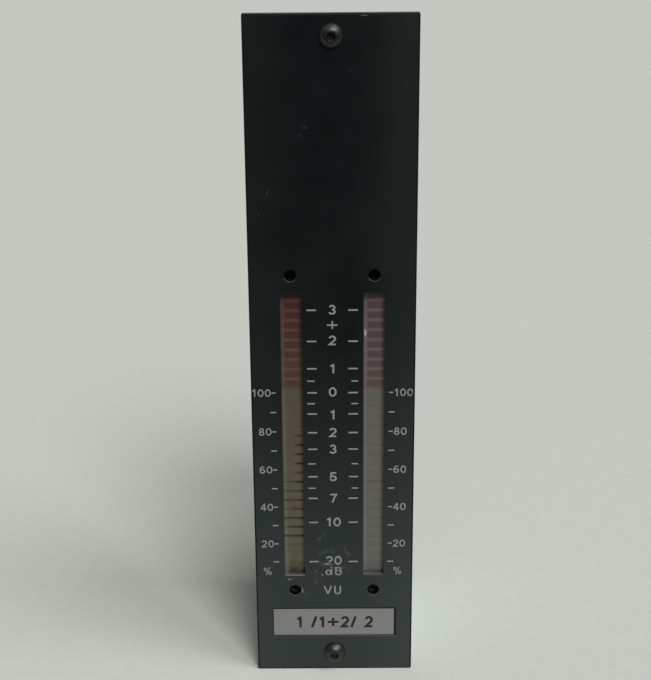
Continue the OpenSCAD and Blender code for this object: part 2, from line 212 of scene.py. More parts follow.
def enamel():
    """Satin black stoving enamel on sheet aluminium: a dark, faintly green film with a fine orange
    peel. It mirrors the pale floor softly, so it looks lighter near its foot. Its colour grows
    lighter towards its sides, and handling has left smudges and a little dust."""
    made, tree, shader, place = start("satin_black_enamel", {"IOR": 1.68, "Specular Tint": srgb("#f2fffd")})
    cloud = add(tree, "TexNoise", {"Vector": place, "Scale": per_mm(14), "Detail": 5.0, "Roughness": 0.6})
    film = add(tree, "Mix", {0: cloud.outputs[0], 6: srgb("#020708"), 7: srgb("#060d0e")}, data_type="RGBA")
    axes = add(tree, "SeparateXYZ", {0: place})
    outward = 0.0
    for begin, end, most in LIGHTER_SIDES:
        toward = add(tree, "MapRange", {0: axes.outputs[0], 1: begin * MM, 2: end * MM, 3: 0.0, 4: most},
                     interpolation_type="SMOOTHSTEP")
        outward = add(tree, "Math", {0: outward, 1: toward.outputs[0]}, operation="ADD").outputs[0]
    film = add(tree, "Mix", {0: outward, 6: film.outputs[2], 7: srgb("#1c2120")}, data_type="RGBA")
    rubbed = 0.0
    for spot, reach in SCUFFS:
        near = near_spot(tree, place, spot, 0.0, reach, 1.0, "SMOOTHSTEP")
        rubbed = add(tree, "Math", {0: rubbed, 1: near}, operation="MAXIMUM").outputs[0]
    streak = add(tree, "TexNoise", {"Vector": place, "Scale": per_mm(1.6), "Detail": 6.0, "Roughness": 0.7})
    torn = add(tree, "MapRange", {0: streak.outputs[0], 1: 0.5, 2: 0.66, 3: 0.0, 4: 0.55})
    smudge = add(tree, "Math", {0: rubbed, 1: torn.outputs[0]}, operation="MULTIPLY")
    speck = add(tree, "TexVoronoi", {"Vector": place, "Scale": per_mm(5.5), "Randomness": 1.0})
    dust = add(tree, "MapRange", {0: speck.outputs["Distance"], 1: 0.02, 2: 0.035, 3: 0.3, 4: 0.0})
    marks = add(tree, "Math", {0: smudge.outputs[0], 1: dust.outputs[0]}, operation="MAXIMUM")
    tint = add(tree, "Mix", {0: marks.outputs[0], 6: film.outputs[2], 7: srgb("#5b5f5e")}, data_type="RGBA")
    tree.links.new(tint.outputs[2], shader.inputs["Base Color"])
    gloss = add(tree, "MapRange", {0: cloud.outputs[0], 1: 0.3, 2: 0.7, 3: 0.30, 4: 0.38})
    tree.links.new(gloss.outputs[0], shader.inputs["Roughness"])
    raise_grain(tree, shader, place, 0.5, 0.004, 2.0)
    return made


def worn_edge():
    """The same enamel drawn thin over the sheet's broken edge: dull and darker, with a few bare specks."""
    made, tree, shader, place = start("worn_enamel_edge", {"Roughness": 0.62, "Specular IOR Level": 0.15})
    rub = add(tree, "TexNoise", {"Vector": place, "Scale": per_mm(3), "Detail": 7.0, "Roughness": 0.75})
    bare = add(tree, "MapRange", {0: rub.outputs[0], 1: 0.62, 2: 0.70, 3: 0.0, 4: 0.8})
    tint = add(tree, "Mix", {0: bare.outputs[0], 6: srgb("#0b0d0d"), 7: srgb("#6d6d68")}, data_type="RGBA")
    tree.links.new(tint.outputs[2], shader.inputs["Base Color"])
    return made


def cut_edge(name, clean, dusty):
    """Dusty cut edge under a window, which catches the light from above."""
    return speckled(name, clean, dusty, 1.5, 0.25, 0.01, {"Roughness": 0.7, "IOR": 1.5})


def screen_ink():
    """White screen-printing ink: a thin matt film, slightly grey with age and rubbed away in spots."""
    made, tree, shader, place = start("white_screen_ink", {"Roughness": 0.6, "IOR": 1.5})
    rub = add(tree, "TexNoise", {"Vector": place, "Scale": per_mm(0.9), "Detail": 5.0, "Roughness": 0.65})
    worn = rub.outputs[0]
    for spot, inner, outer, strength in INK_WEAR:
        near = near_spot(tree, place, spot, inner, outer, strength, "LINEAR")
        worn = add(tree, "Math", {0: worn, 1: near}, operation="ADD").outputs[0]
    gone = add(tree, "MapRange", {0: worn, 1: 0.60, 2: 0.72, 3: 0.0, 4: 0.75})
    tint = add(tree, "Mix", {0: gone.outputs[0], 6: srgb("#878a89"), 7: srgb("#3a3f3f")}, data_type="RGBA")
    tree.links.new(tint.outputs[2], shader.inputs["Base Color"])
    return made


# Heights on the light bars, above the panel's lower edge, over which the grime changes: where the dark
# seams set in, where they stop crossing the whole lamp, where they end, and where the foot's grime ends
SEAMS_SET_IN, SEAMS_CROSS, SEAMS_END, FOOT_GRIME = (34, 38), (50, 55), (66.4, 69.5), (28.6, 32.5)
# The lead frame's upright lines, in X from the middle of the window, and half their width
FRAME_LINES, FRAME_LINE_HALF = (1.2, 2.0), 0.12


def lamp_edge(side):
    """X of the left edge of a bar's lamps."""
    return side * BAR_X + ARRAY_SHIFT - SEGMENT_W / 2


def bar_tints(tree, x, z, off_middle, side, span, pairs):
    """Clean tints of a bar: lamps and webs in turn, a margin on the left, and all painted paler at the
    right, as painted light that offsets the shade of the window's right wall.

    pairs are the tints of lamps, webs and margin, each at the foot and the head of span.
    """
    rise = add(tree, "MapRange", {0: z, 1: span[0] * MM, 2: span[1] * MM, 3: 0.0, 4: 1.0})
    lamp, web, margin = [
        add(tree, "Mix", {0: rise.outputs[0], 6: srgb(foot), 7: srgb(head)}, data_type="RGBA").outputs[2]
        for foot, head in pairs]
    half = LAMP_H / 2 / PITCH
    between = add(tree, "MapRange", {0: off_middle, 1: half - 0.06, 2: half + 0.05, 3: 0.0, 4: 1.0})
    row = add(tree, "Mix", {0: between.outputs[0], 6: lamp, 7: web}, data_type="RGBA")
    left = lamp_edge(side)
    beside = add(tree, "MapRange", {0: x, 1: (left - 0.3) * MM, 2: (left + 0.25) * MM, 3: 0.85, 4: 0.0})
    plain = add(tree, "Mix", {0: beside.outputs[0], 6: row.outputs[2], 7: margin}, data_type="RGBA")
    # Painted light: tints grow paler towards the right, offsetting the shade cast by the window's right wall
    pale = add(tree, "MapRange", {0: x, 1: (left + 1.8) * MM, 2: (left + 3.4) * MM, 3: 1.0, 4: 1.28})
    clean = add(tree, "VectorMath", {0: plain.outputs[2], "Scale": pale.outputs[0]}, operation="SCALE")
    return clean.outputs[0]


def bar_lines(tree, place, x, z, off_middle, side, seam_pull, frame_pull):
    """Strength of the dark lines on a bar: dust between the lamps, and the lead frame."""
    left = lamp_edge(side)
    gap = add(tree, "MapRange", {0: off_middle, 1: 0.34, 2: 0.43, 3: 0.0, 4: 1.0})
    to_right = add(tree, "MapRange", {0: x, 1: (left + 1.6) * MM, 2: (left + 2.6) * MM, 3: 0.0, 4: 1.0})
    low = add(tree, "MapRange", {0: z, 1: SEAMS_CROSS[0] * MM, 2: SEAMS_CROSS[1] * MM, 3: 0.75, 4: 0.1})
    across = add(tree, "Math", {0: to_right.outputs[0], 1: low.outputs[0]}, operation="MAXIMUM")
    creep = add(tree, "TexNoise", {"Vector": place, "Scale": per_mm(4.0), "Detail": 3.0})
    uneven = add(tree, "MapRange", {0: creep.outputs[0], 1: 0.34, 2: 0.56, 3: 0.35 * seam_pull, 4: seam_pull})
    above = add(tree, "MapRange", {0: z, 1: SEAMS_END[0] * MM, 2: SEAMS_END[1] * MM, 3: 1.0, 4: 0.06})
    below = add(tree, "MapRange", {0: z, 1: SEAMS_SET_IN[0] * MM, 2: SEAMS_SET_IN[1] * MM, 3: 0.08, 4: 1.0})
    lined = gap.outputs[0]
    for part in (across, uneven, above, below):
        lined = add(tree, "Math", {0: lined, 1: part.outputs[0]}, operation="MULTIPLY").outputs[0]
    for inset in FRAME_LINES:
        strand = add(tree, "Math", {0: x, 1: (side * BAR_X + inset) * MM, 2: FRAME_LINE_HALF * MM},
                     operation="COMPARE")
        faint = add(tree, "Math", {0: strand.outputs[0], 1: frame_pull}, operation="MULTIPLY")
        lined = add(tree, "Math", {0: lined, 1: faint.outputs[0]}, operation="MAXIMUM").outputs[0]
    return lined


def bar_stains(tree, place, x, z, side, seam_pull):
    """Strength of the stains on a bar: faint patches all over, and grime settled at the lamps' foot."""
    left = lamp_edge(side)
    cloud = add(tree, "TexNoise", {"Vector": place, "Scale": per_mm(3.5), "Detail": 6.0, "Roughness": 0.7})
    patch = add(tree, "MapRange", {0: cloud.outputs[0], 1: 0.45, 2: 0.75, 3: 0.0, 4: 0.22})
    grime = add(tree, "TexNoise", {"Vector": place, "Scale": per_mm(1.4), "Detail": 3.0})
    clot = add(tree, "MapRange", {0: grime.outputs[0], 1: 0.42, 2: 0.62, 3: 0.1, 4: 1.0})
    begin, end = FOOT_GRIME
    low = add(tree, "MapRange", {0: z, 1: begin * MM, 2: end * MM, 3: 0.55 * seam_pull, 4: 0.0})
    on_lamps = add(tree, "MapRange", {0: x, 1: (left - 0.1) * MM, 2: (left + 0.3) * MM, 3: 0.0, 4: 1.0})
    settled = low.outputs[0]
    for part in (clot, on_lamps):
        settled = add(tree, "Math", {0: settled, 1: part.outputs[0]}, operation="MULTIPLY").outputs[0]
    return add(tree, "Math", {0: patch.outputs[0], 1: settled}, operation="ADD").outputs[0]


def bar_finish(name, side, span, lamps, webs, margins, seam, seam_pull, frame_pull, rough):
    """One tint of an unlit LED bar: milky epoxy lamps with webs of the moulded package between them
    and a margin of it on the left. lamps, webs and margins are the tints at the foot and the head of
    span. Dust has crept between the lamps and shows as dark lines, seam_pull strong, most of all
    towards the right and half way up, and it has settled at the foot of the bar. Two upright lines,
    frame_pull strong, are the lead frame under the epoxy. To their right the tints are painted paler,
    as painted light that offsets the shade of the window's right wall."""
    made, tree, shader, place = start(name, {"Roughness": rough, "IOR": 1.5})
    axes = add(tree, "SeparateXYZ", {0: place})
    x, z = axes.outputs[0], axes.outputs[2]
    steps = add(tree, "MapRange", {0: z, 1: WINDOW_Z * MM, 2: (WINDOW_Z + PITCH) * MM, 3: 0.0, 4: 1.0},
                clamp=False)
    turn = add(tree, "Math", {0: steps.outputs[0]}, operation="FRACT")
    off = add(tree, "Math", {0: turn.outputs[0], 1: 0.5}, operation="SUBTRACT")
    off_middle = add(tree, "Math", {0: off.outputs[0]}, operation="ABSOLUTE").outputs[0]
    clean = bar_tints(tree, x, z, off_middle, side, span, (lamps, webs, margins))
    lined = bar_lines(tree, place, x, z, off_middle, side, seam_pull, frame_pull)
    stained = bar_stains(tree, place, x, z, side, seam_pull)
    pull = add(tree, "Math", {0: lined, 1: stained}, operation="MAXIMUM")
    dirty = add(tree, "Mix", {0: pull.outputs[0], 6: clean, 7: srgb(seam)}, data_type="RGBA")
    tree.links.new(dirty.outputs[2], shader.inputs["Base Color"])
    raise_grain(tree, shader, place, 0.4, 0.004)
    return made


panel_enamel = enamel()
panel_edge = worn_edge()
left_ledge = cut_edge("chalky_window_ledge", "#4c4743", "#66615b")
right_ledge = cut_edge("dusty_window_ledge", "#4a4a45", "#565752")
# Dust and grime packed down between the ledges and the feet of the bars: dull, soft and crumbly
left_dust = cut_edge("brown_packed_dust", "#322d27", "#3f3932")
right_dust = cut_edge("grey_packed_dust", "#42433e", "#4b4c46")
# Bare field behind the tape: matt black, duller than the enamel, as painted shade in the thin gaps
# round the tape, where the tape's edges also keep it in shade
field_painted_shade = speckled("matt_field_painted_shade", "#060707", "#0b0c0c", 2.0, 0.3, 0.01,
                       {"Roughness": 0.8, "IOR": 1.4})
scale_ink = screen_ink()
# Matt grey laminated tape: an even film with a faint tooth and a little grime along it
tape = speckled("grey_label_tape", "#777776", "#807f7e", 6, 0.3, 0.004, {"IOR": 1.5}, rough=(0.5, 0.62))
# Thermal black print on the tape, very slightly brown
tape_print = speckled("black_tape_print", "#0e0d0c", "#171614", 1.0, 0.3, 0.002,
                      {"Roughness": 0.55, "IOR": 1.5})
# Black oxide on steel, dry with age: nearly black, with a soft sheen where the lamp is mirrored
screw_black = speckled("black_oxide_steel", "#0c0d0d", "#161718", 0.9, 0.12, 0.003, {"IOR": 1.6},
                       rough=(0.38, 0.48))
# Grey primer where a flake of the enamel has gone: dull and a little chalky
primer = speckled("bare_grey_primer", "#646562", "#767773", 0.3, 0.1, 0.004, {"Roughness": 0.6, "IOR": 1.5})
# Broken corner of a package: the pale inside of the moulding, which scatters more light
chipped = speckled("broken_package", "#90918d", "#b3b4b0", 0.3, 0.1, 0.004, {"Roughness": 0.5, "IOR": 1.5})

# Unlit bars: side, span of heights, tints of lamps, webs, margins and dust, pulls of dust and lead frame
CREAM_SPAN, RED_SPAN = (30, 76), (80, 100)
BAR_TINTS = {
    "left_cream": (-1, CREAM_SPAN, ("#5b5644", "#5b5141"), ("#5c5644", "#5d5343"), ("#68695a", "#5f5e4e"),
                   "#231b12", 1.0, 0.12),
    "left_red": (-1, RED_SPAN, ("#523a31", "#4c2422"), ("#5e483d", "#5b3733"), ("#5a4a40", "#583b36"),
                 "#301c17", 0.4, 0.08),
    "right_cream": (1, CREAM_SPAN, ("#676761", "#69645e"), ("#676660", "#69635e"), ("#6c6e66", "#6e6c68"),
                    "#47433d", 0.16, 0.34),
    "right_red": (1, RED_SPAN, ("#5b4849", "#564042"), ("#6e5b5b", "#6b5558"), ("#6e6361", "#6b5c5f"),
                  "#403232", 0.3, 0.15),
}
PACKAGE_ROUGH, LAMP_ROUGH = 0.5, 0.4
bar_bodies = {tint: bar_finish(f"{tint}_package", *look, PACKAGE_ROUGH) for tint, look in BAR_TINTS.items()}
bar_faces = {tint: bar_finish(f"{tint}_lamps", *look, LAMP_ROUGH) for tint, look in BAR_TINTS.items()}


# Finishes behind the panel

STREAK_LENGTH = 50


def brushed(name, colour, streak, along, rough):
    """A metal finished by rubbing or drawing: fine parallel streaks that differ in tone and shine.

    streak is the width of a streak in millimetres, drawn wide enough to show, and along is the axis
    that the streaks follow, STREAK_LENGTH times as long as they are wide.
    """
    made, tree, shader, place = start(name, {"Metallic": 1.0})
    squeeze = [1.0, 1.0, 1.0]
    squeeze[along] = 1 / STREAK_LENGTH
    lay = add(tree, "Mapping", {"Vector": place, "Scale": squeeze})
    lines = add(tree, "TexNoise", {"Vector": lay.outputs[0], "Scale": per_mm(streak), "Detail": 5.0})
    tone = add(tree, "MapRange", {0: lines.outputs[0], 1: 0.3, 2: 0.7, 3: 0.86, 4: 1.0})
    tint = add(tree, "VectorMath", {0: srgb(colour)[:3], "Scale": tone.outputs[0]}, operation="SCALE")
    tree.links.new(tint.outputs[0], shader.inputs["Base Color"])
    shine = add(tree, "MapRange", {0: lines.outputs[0], 1: 0.25, 2: 0.75, 3: rough[0], 4: rough[1]})
    tree.links.new(shine.outputs[0], shader.inputs["Roughness"])
    relief = add(tree, "Bump", {"Height": lines.outputs[0], "Distance": 0.004 * MM, "Strength": 0.6})
    tree.links.new(relief.outputs[0], shader.inputs["Normal"])
    return made


ALONG_X, ALONG_Y, ALONG_Z = range(3)

# Natural nylon, moulded: milky and waxy, a little translucent
nylon = speckled("natural_nylon", "#d8d1bd", "#e3ddcc", 2.5, 0.2, 0.004,
                 {"IOR": 1.53, "Subsurface Weight": 0.15, "Subsurface Radius": (0.0008, 0.0007, 0.0005)},
                 rough=(0.4, 0.5))
# Black moulded polyester of the trimmers: smooth, with a fine spark-eroded tooth
trimmer_black = speckled("black_moulded_polyester", "#0f1013", "#18191c", 3.0, 0.15, 0.006, {"IOR": 1.55},
                         rough=(0.4, 0.5))
# The same in the lower pair, but pale grey and dull, so that the lower access holes look lighter inside
pale_lower_trimmer = speckled("pale_moulded_polyester", "#666660", "#7c7b75", 1.5, 0.1, 0.01, {"IOR": 1.4},
                         rough=(0.7, 0.85))
# Black moulded nylon of their rotors, duller, and pale grey and dull in the lower pair too
rotor_black = speckled("black_moulded_rotor", "#1d1f21", "#282a2c", 1.2, 0.12, 0.004, {"IOR": 1.5},
                       rough=(0.5, 0.6))
pale_lower_rotor = speckled("pale_moulded_rotor", "#686862", "#7e7d77", 1.2, 0.1, 0.01, {"IOR": 1.4},
                       rough=(0.7, 0.85))
# Glass-fibre laminate under green lacquer: glossy, with the weave of the cloth just showing
board_green = speckled("green_lacquered_laminate", "#1c5a33", "#24683c", 8.0, 0.6, 0.006, {"IOR": 1.55},
                       rough=(0.2, 0.3))
# The same lacquer over copper tracks, lighter and yellower than over the laminate
track_green = speckled("lacquered_copper_track", "#3b8048", "#468b4f", 3.0, 0.3, 0.003, {"IOR": 1.55},
                       rough=(0.18, 0.28))
# White epoxy ink of the board's print: matt, a little yellow
board_print = speckled("white_board_print", "#c9c8bd", "#d6d5cb", 1.5, 0.2, 0.003,
                       {"Roughness": 0.6, "IOR": 1.5})
# Solder: bright tin with a slightly frosted skin
solder_tin = speckled("bright_solder", "#c3c5c6", "#d6d8d9", 0.6, 0.15, 0.008, {"Metallic": 1.0},
                      rough=(0.2, 0.34))
# Tinned legs and leads, drawn wire: a soft white shine
tinned = brushed("tinned_leads", "#c4c6c7", 0.1, ALONG_Y, (0.22, 0.4))
# Zinc plated steel screws and studs: bluish, with the marks of turning
zinc = brushed("zinc_plated_steel", "#b9bdc1", 0.12, ALONG_X, (0.25, 0.42))
# Nickel plated brass spacers, drawn hexagon bar: a warm, bright metal
nickel = brushed("nickel_plated_brass", "#cfc7ae", 0.14, ALONG_Y, (0.18, 0.34))
# Gold flashed contact pins: thin and yellow over a smooth wire
gold = brushed("gold_flashed_pins", "#dcb864", 0.1, ALONG_Y, (0.2, 0.34))
# Brushed aluminium of the side plates: pale grey, with its grain along the height
plate_metal = brushed("brushed_aluminium", "#c9cccd", 0.22, ALONG_Z, (0.26, 0.44))
# Turned aluminium of the tie rods, a little brighter
rod_metal = brushed("turned_aluminium", "#ced1d2", 0.16, ALONG_X, (0.22, 0.38))
# Black glass-filled polyester of the connectors: dull, with tiny flow marks
connector_black = speckled("black_glass_filled_polyester", "#17171a", "#232326", 1.2, 0.12, 0.008,
                           {"IOR": 1.55}, rough=(0.42, 0.56))
# Black moulded epoxy of the chips: matt and stony
chip_epoxy = speckled("black_moulded_epoxy", "#1d1e20", "#292a2c", 1.5, 0.1, 0.012, {"IOR": 1.55},
                      rough=(0.55, 0.7))
# Ochre dip lacquer of the networks: glossy, with the slow waves of a dipped coat
network_lacquer = speckled("ochre_dip_lacquer", "#a97425", "#ba8631", 3.5, 1.8, 0.05,
                           {"IOR": 1.52, "Coat Weight": 0.5, "Coat Roughness": 0.15}, rough=(0.24, 0.34))
# Beige lacquer of the resistors: smooth and shiny, like a boiled sweet
resistor_lacquer = speckled("beige_resistor_lacquer", "#c3a878", "#cfb68a", 1.5, 0.8, 0.02,
                            {"IOR": 1.52, "Coat Weight": 0.4, "Coat Roughness": 0.12}, rough=(0.26, 0.36))
# Shrunk sleeve of the capacitors: dark blue, drawn tight, glossy
sleeve_blue = speckled("blue_shrink_sleeve", "#1c2c5c", "#243669", 4.0, 0.9, 0.01, {"IOR": 1.5},
                       rough=(0.22, 0.32))
# Pale stripe printed on the sleeve to mark the negative lead
sleeve_stripe = speckled("pale_sleeve_print", "#b9bfc9", "#c8cdd5", 2.0, 0.9, 0.006, {"IOR": 1.5},
                         rough=(0.3, 0.4))
# Deep-drawn aluminium of the can's end: faint streaks and a soft shine
can_metal = brushed("drawn_aluminium_can", "#c6c8c9", 0.2, ALONG_X, (0.28, 0.42))
# Red potted box of the film capacitors: even and half glossy
film_red = speckled("red_potted_box", "#96351f", "#a84028", 2.5, 0.2, 0.008, {"IOR": 1.52},
                    rough=(0.32, 0.44))
# Paints of the resistors' bands: thin and smooth
BAND_PAINTS = {"brown": "#4a2a17", "black": "#191817", "orange": "#b8571c", "red": "#8f2018",
               "gold": "#9c7a35"}
paints = {name: speckled(f"{name}_band_paint", code, code, 1.0, 0.4, 0.004, {"IOR": 1.5}, rough=(0.3, 0.4))
          for name, code in BAND_PAINTS.items()}


# Mesh helpers

FLAT_LIMIT = radians(0.5)
SHARP = radians(17)
EASE_LIMIT = radians(32)
WELD = 0.0005 * MM
SLIVER = 0.001 * MM
LAYER_SUNK = 0.004
MITRE_LIMIT = 0.4


def piece(name, bm, finishes, body="module"):
    """Makes a shown piece from a bmesh, riding on a body."""
    bmesh.ops.dissolve_degenerate(bm, dist=SLIVER, edges=bm.edges)
    bmesh.ops.triangulate(bm, faces=[f for f in bm.faces if len(f.verts) > 4])
    bmesh.ops.dissolve_degenerate(bm, dist=SLIVER, edges=bm.edges)
    mesh = bpy.data.meshes.new(name)
    for face in bm.faces:
        face.smooth = True
    bm.to_mesh(mesh)
    bm.free()
    mesh.set_sharp_from_angle(angle=SHARP)
    for finish in finishes:
        mesh.materials.append(finish)
    made = bpy.data.objects.new(name, mesh)
    scene.collection.objects.link(made)
    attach(made, body)
    return made


def node_mesh(node):
    """A CAD node's mesh as a bmesh, its seams welded and its flat faces whole."""
    bm = bmesh.new()
    bm.from_mesh(frame["nodes"][node].data)
    bmesh.ops.remove_doubles(bm, verts=bm.verts, dist=WELD)
    bmesh.ops.dissolve_limit(bm, angle_limit=FLAT_LIMIT, verts=bm.verts, edges=bm.edges)
    return bm


def sharp_edges(bm):
    return [e for e in bm.edges if e.is_manifold and e.calc_face_angle() > EASE_LIMIT]


def ease(bm, edges, radius, steps=2):
    """Rounds these edges and gives the new faces back."""
    made = bmesh.ops.bevel(bm, geom=edges, offset=radius * MM, offset_type="OFFSET", segments=steps,
                           profile=0.5, affect="EDGES", clamp_overlap=True)
    return made["faces"]


def split_across(bm, y, keep_behind=True):
    """Cuts a mesh at a height in Y and gives the new edges; what lies behind it may go."""
    cut = bmesh.ops.bisect_plane(bm, geom=bm.verts[:] + bm.edges[:] + bm.faces[:], dist=WELD,
                                 plane_co=(0, y * MM, 0), plane_no=(0, 1, 0), clear_outer=not keep_behind)
    return [e for e in cut["geom_cut"] if isinstance(e, bmesh.types.BMEdge)]


def body_of(node):
    return next(b for b, nodes in frame["record"]["behaviour"]["bodies"].items() if node in nodes)


def stand_in(node, bm, finishes):
    """Shows a dressed mesh in a CAD node's place."""
    made = piece(node + "_dressed", bm, finishes, body_of(node))
    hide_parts(node)
    return made


def eased(node, radius, finish):
    """Shows a CAD node with softened edges."""
    bm = node_mesh(node)
    ease(bm, sharp_edges(bm), radius)
    return stand_in(node, bm, [finish])


def turned(bm, profile, place, steps, index=0):
    """Adds a turned shape: profile is (radius, height) pairs in mm along the place's own Z."""
    rings = []
    for radius, height in profile:
        turns = [tau * i / steps for i in range(steps if radius > 0 else 1)]
        spots = [Vector((radius * cos(t), radius * sin(t), height)) * MM for t in turns]
        rings.append([bm.verts.new(place @ spot) for spot in spots])
    for low, high in zip(rings, rings[1:]):
        for i in range(steps):
            j = (i + 1) % steps
            corners = [low[i % len(low)], low[j % len(low)], high[j % len(high)], high[i % len(high)]]
            corners = list(dict.fromkeys(corners))
            if len(corners) > 2:
                bm.faces.new(corners).material_index = index
    for rim, flip in ((rings[0], True), (rings[-1], False)):
        if len(rim) > 2:
            bm.faces.new(rim[::-1] if flip else rim).material_index = index


def skin(bm, rings, index=0):
    """Closes a row of equal rings into a tube with flat ends."""
    count = len(rings[0])
    for low, high in zip(rings, rings[1:]):
        for i in range(count):
            j = (i + 1) % count
            bm.faces.new((low[i], low[j], high[j], high[i])).material_index = index
    bm.faces.new(rings[0][::-1]).material_index = index
    bm.faces.new(rings[-1]).material_index = index


def wire(bm, points, diameter, index, steps=10):
    """Adds a round wire along points in mm that lie in one plane of constant X."""
    spots = [Vector(p) for p in points]
    across = Vector((1, 0, 0))
    rings = []
    for i, spot in enumerate(spots):
        way = (spots[min(i + 1, len(spots) - 1)] - spots[max(i - 1, 0)]).normalized()
        out = way.cross(across)
        turns = [tau * k / steps for k in range(steps)]
        rim = [spot + (across * cos(t) + out * sin(t)) * diameter / 2 for t in turns]
        rings.append([bm.verts.new(point * MM) for point in rim])
    skin(bm, rings, index)


def add_block(bm, low, high):
    """Adds a box between two corners in mm."""
    middle = (Vector(low) + Vector(high)) / 2 * MM
    size = (Vector(high) - Vector(low)) * MM
    bmesh.ops.create_cube(bm, size=1.0, matrix=Matrix.Translation(middle) @ Matrix.Diagonal((*size, 1.0)))


def facing(x, y, z, way):
    """Place whose own Z points along +Y or -Y from this point in mm."""
    turn = Matrix.Rotation(radians(-90 if way > 0 else 90), 4, "X")
    return Matrix.Translation(Vector((x, y, z)) * MM) @ turn


def upright(x, y, z):
    return Matrix.Translation(Vector((x, y, z)) * MM)


def arc(x, z, rx, rz, begin, end, steps=16):
    """Points along part of an ellipse; angles are in degrees."""
    turns = [radians(begin + (end - begin) * i / steps) for i in range(steps + 1)]
    return [(x + rx * cos(t), z + rz * sin(t)) for t in turns]


def dash(x0, x1, z, thick):
    """Outline of a short level line, such as a tick."""
    return [(x0, z - thick / 2), (x1, z - thick / 2), (x1, z + thick / 2), (x0, z + thick / 2)]


def ribbon(points, width):
    """Outline of a flat band of even width along a line."""
    spots = [Vector(p) for p in points]
    ways = [(b - a).normalized() for a, b in zip(spots, spots[1:])]
    near, far = [], []
    for i, spot in enumerate(spots):
        before, after = ways[max(i - 1, 0)], ways[min(i, len(ways) - 1)]
        out = Vector((before.y + after.y, -before.x - after.x)).normalized()
        reach = width / 2 / max(out.dot(Vector((before.y, -before.x))), MITRE_LIMIT)
        near.append(spot + out * reach)
        far.append(spot - out * reach)
    return near + far[::-1]


def flat_layer(name, outlines, face_y, thickness, finishes, way=-1):
    """A thin layer, such as print or track, of overlapping outlines in X and Z on a face of constant Y."""
    points, loops = [], []
    for outline in outlines:
        loops.append(list(range(len(points), len(points) + len(outline))))
        points += [Vector(p) for p in outline]
    spots, _, cells, _, _, owners = delaunay_2d_cdt(points, [], loops, 0, 1e-5)
    bm = bmesh.new()
    verts = [bm.verts.new(Vector((p.x, face_y - way * LAYER_SUNK, p.y)) * MM) for p in spots]
    for cell, owner in zip(cells, owners):
        if owner:
            bm.faces.new([verts[i] for i in cell])
    bmesh.ops.delete(bm, geom=[v for v in bm.verts if not v.link_faces], context="VERTS")
    bmesh.ops.dissolve_limit(bm, angle_limit=FLAT_LIMIT, verts=bm.verts, edges=bm.edges)
    raised = bmesh.ops.extrude_face_region(bm, geom=bm.faces[:], use_keep_orig=True)
    lifted = [g for g in raised["geom"] if isinstance(g, bmesh.types.BMVert)]
    bmesh.ops.translate(bm, vec=(0, way * (thickness + LAYER_SUNK) * MM, 0), verts=lifted)
    bmesh.ops.recalc_face_normals(bm, faces=bm.faces)
    return piece(name, bm, finishes)


# Lettering: each sign is its width and the middle lines of its strokes, in a height of one

def ring(x, z, rx, rz):
    """A closed round stroke, as its two halves."""
    return [arc(x, z, rx, rz, 90, 270), arc(x, z, rx, rz, -90, 90)]


SIGNS = {
    "0": (0.72, ring(0.36, 0.5, 0.27, 0.42)),
    "1": (0.58, [[(0.36, 0), (0.36, 1)], [(0.1, 0.76), (0.24, 0.80), (0.36, 0.94)]]),
    "2": (0.70, [arc(0.35, 0.67, 0.25, 0.25, 165, -25) + [(0.11, 0.08), (0.64, 0.08)]]),
    "3": (0.70, [arc(0.34, 0.71, 0.21, 0.21, 165, -90), arc(0.34, 0.29, 0.25, 0.21, 90, -165)]),
    "4": (0.72, [[(0.5, 0), (0.5, 1)], [(0.48, 0.94), (0.09, 0.29)], [(0.04, 0.29), (0.68, 0.29)]]),
    "5": (0.70, [[(0.62, 0.92), (0.19, 0.92)] + arc(0.34, 0.32, 0.26, 0.24, 140, -160)]),
    "6": (0.72, ring(0.36, 0.32, 0.25, 0.24) + [arc(0.4, 0.5, 0.29, 0.42, 55, 180) + [(0.11, 0.32)]]),
    "7": (0.68, [[(0.06, 0.92), (0.62, 0.92), (0.45, 0.6), (0.33, 0.3), (0.27, 0)]]),
    "8": (0.72, ring(0.36, 0.72, 0.2, 0.2) + ring(0.36, 0.29, 0.25, 0.21)),
    "%": (0.92, ring(0.21, 0.74, 0.13, 0.18) + ring(0.71, 0.26, 0.13, 0.18) + [[(0.26, 0), (0.66, 1)]]),
    "+": (0.98, [[(0.03, 0.5), (0.95, 0.5)], [(0.49, 0.13), (0.49, 0.87)]]),
    "/": (0.44, [[(0.04, 0), (0.4, 1)]]),
    "d": (0.74, ring(0.33, 0.34, 0.22, 0.27) + [[(0.6, 0), (0.6, 1)]]),
    "B": (0.76, [[(0.16, 0), (0.16, 1)],
                 [(0.16, 0.92), (0.36, 0.92)] + arc(0.4, 0.72, 0.2, 0.2, 90, -90) + [(0.16, 0.52)],
                 [(0.16, 0.52), (0.4, 0.52)] + arc(0.42, 0.3, 0.24, 0.22, 90, -90) + [(0.16, 0.08)]]),
    "V": (0.78, [[(0.07, 1), (0.39, 0.06)], [(0.71, 1), (0.39, 0.06)]]),
    "U": (0.80, [[(0.16, 1), (0.16, 0.36)] + arc(0.4, 0.34, 0.24, 0.26, 180, 360)
                 + [(0.64, 0.36), (0.64, 1)]]),
    " ": (0.40, []),
}


def words(text, x, z, height, weight, align=0.5, stretch=1.0, spacing=0.1):
    """Outlines of a line of signs: x is its left end, middle or right end by align, z its middle."""
    width = sum(SIGNS[s][0] for s in text) + spacing * (len(text) - 1)
    pen, outlines = -align * width, []
    for sign in text:
        wide, strokes = SIGNS[sign]
        for stroke in strokes:
            line = [((pen + px) * stretch, pz - 0.5) for px, pz in stroke]
            outlines.append([(x + px * height, z + pz * height) for px, pz in ribbon(line, weight)])
        pen += wide + spacing
    return outlines


# Front panel: sheet with eased edges, worn outside, dusty in the windows

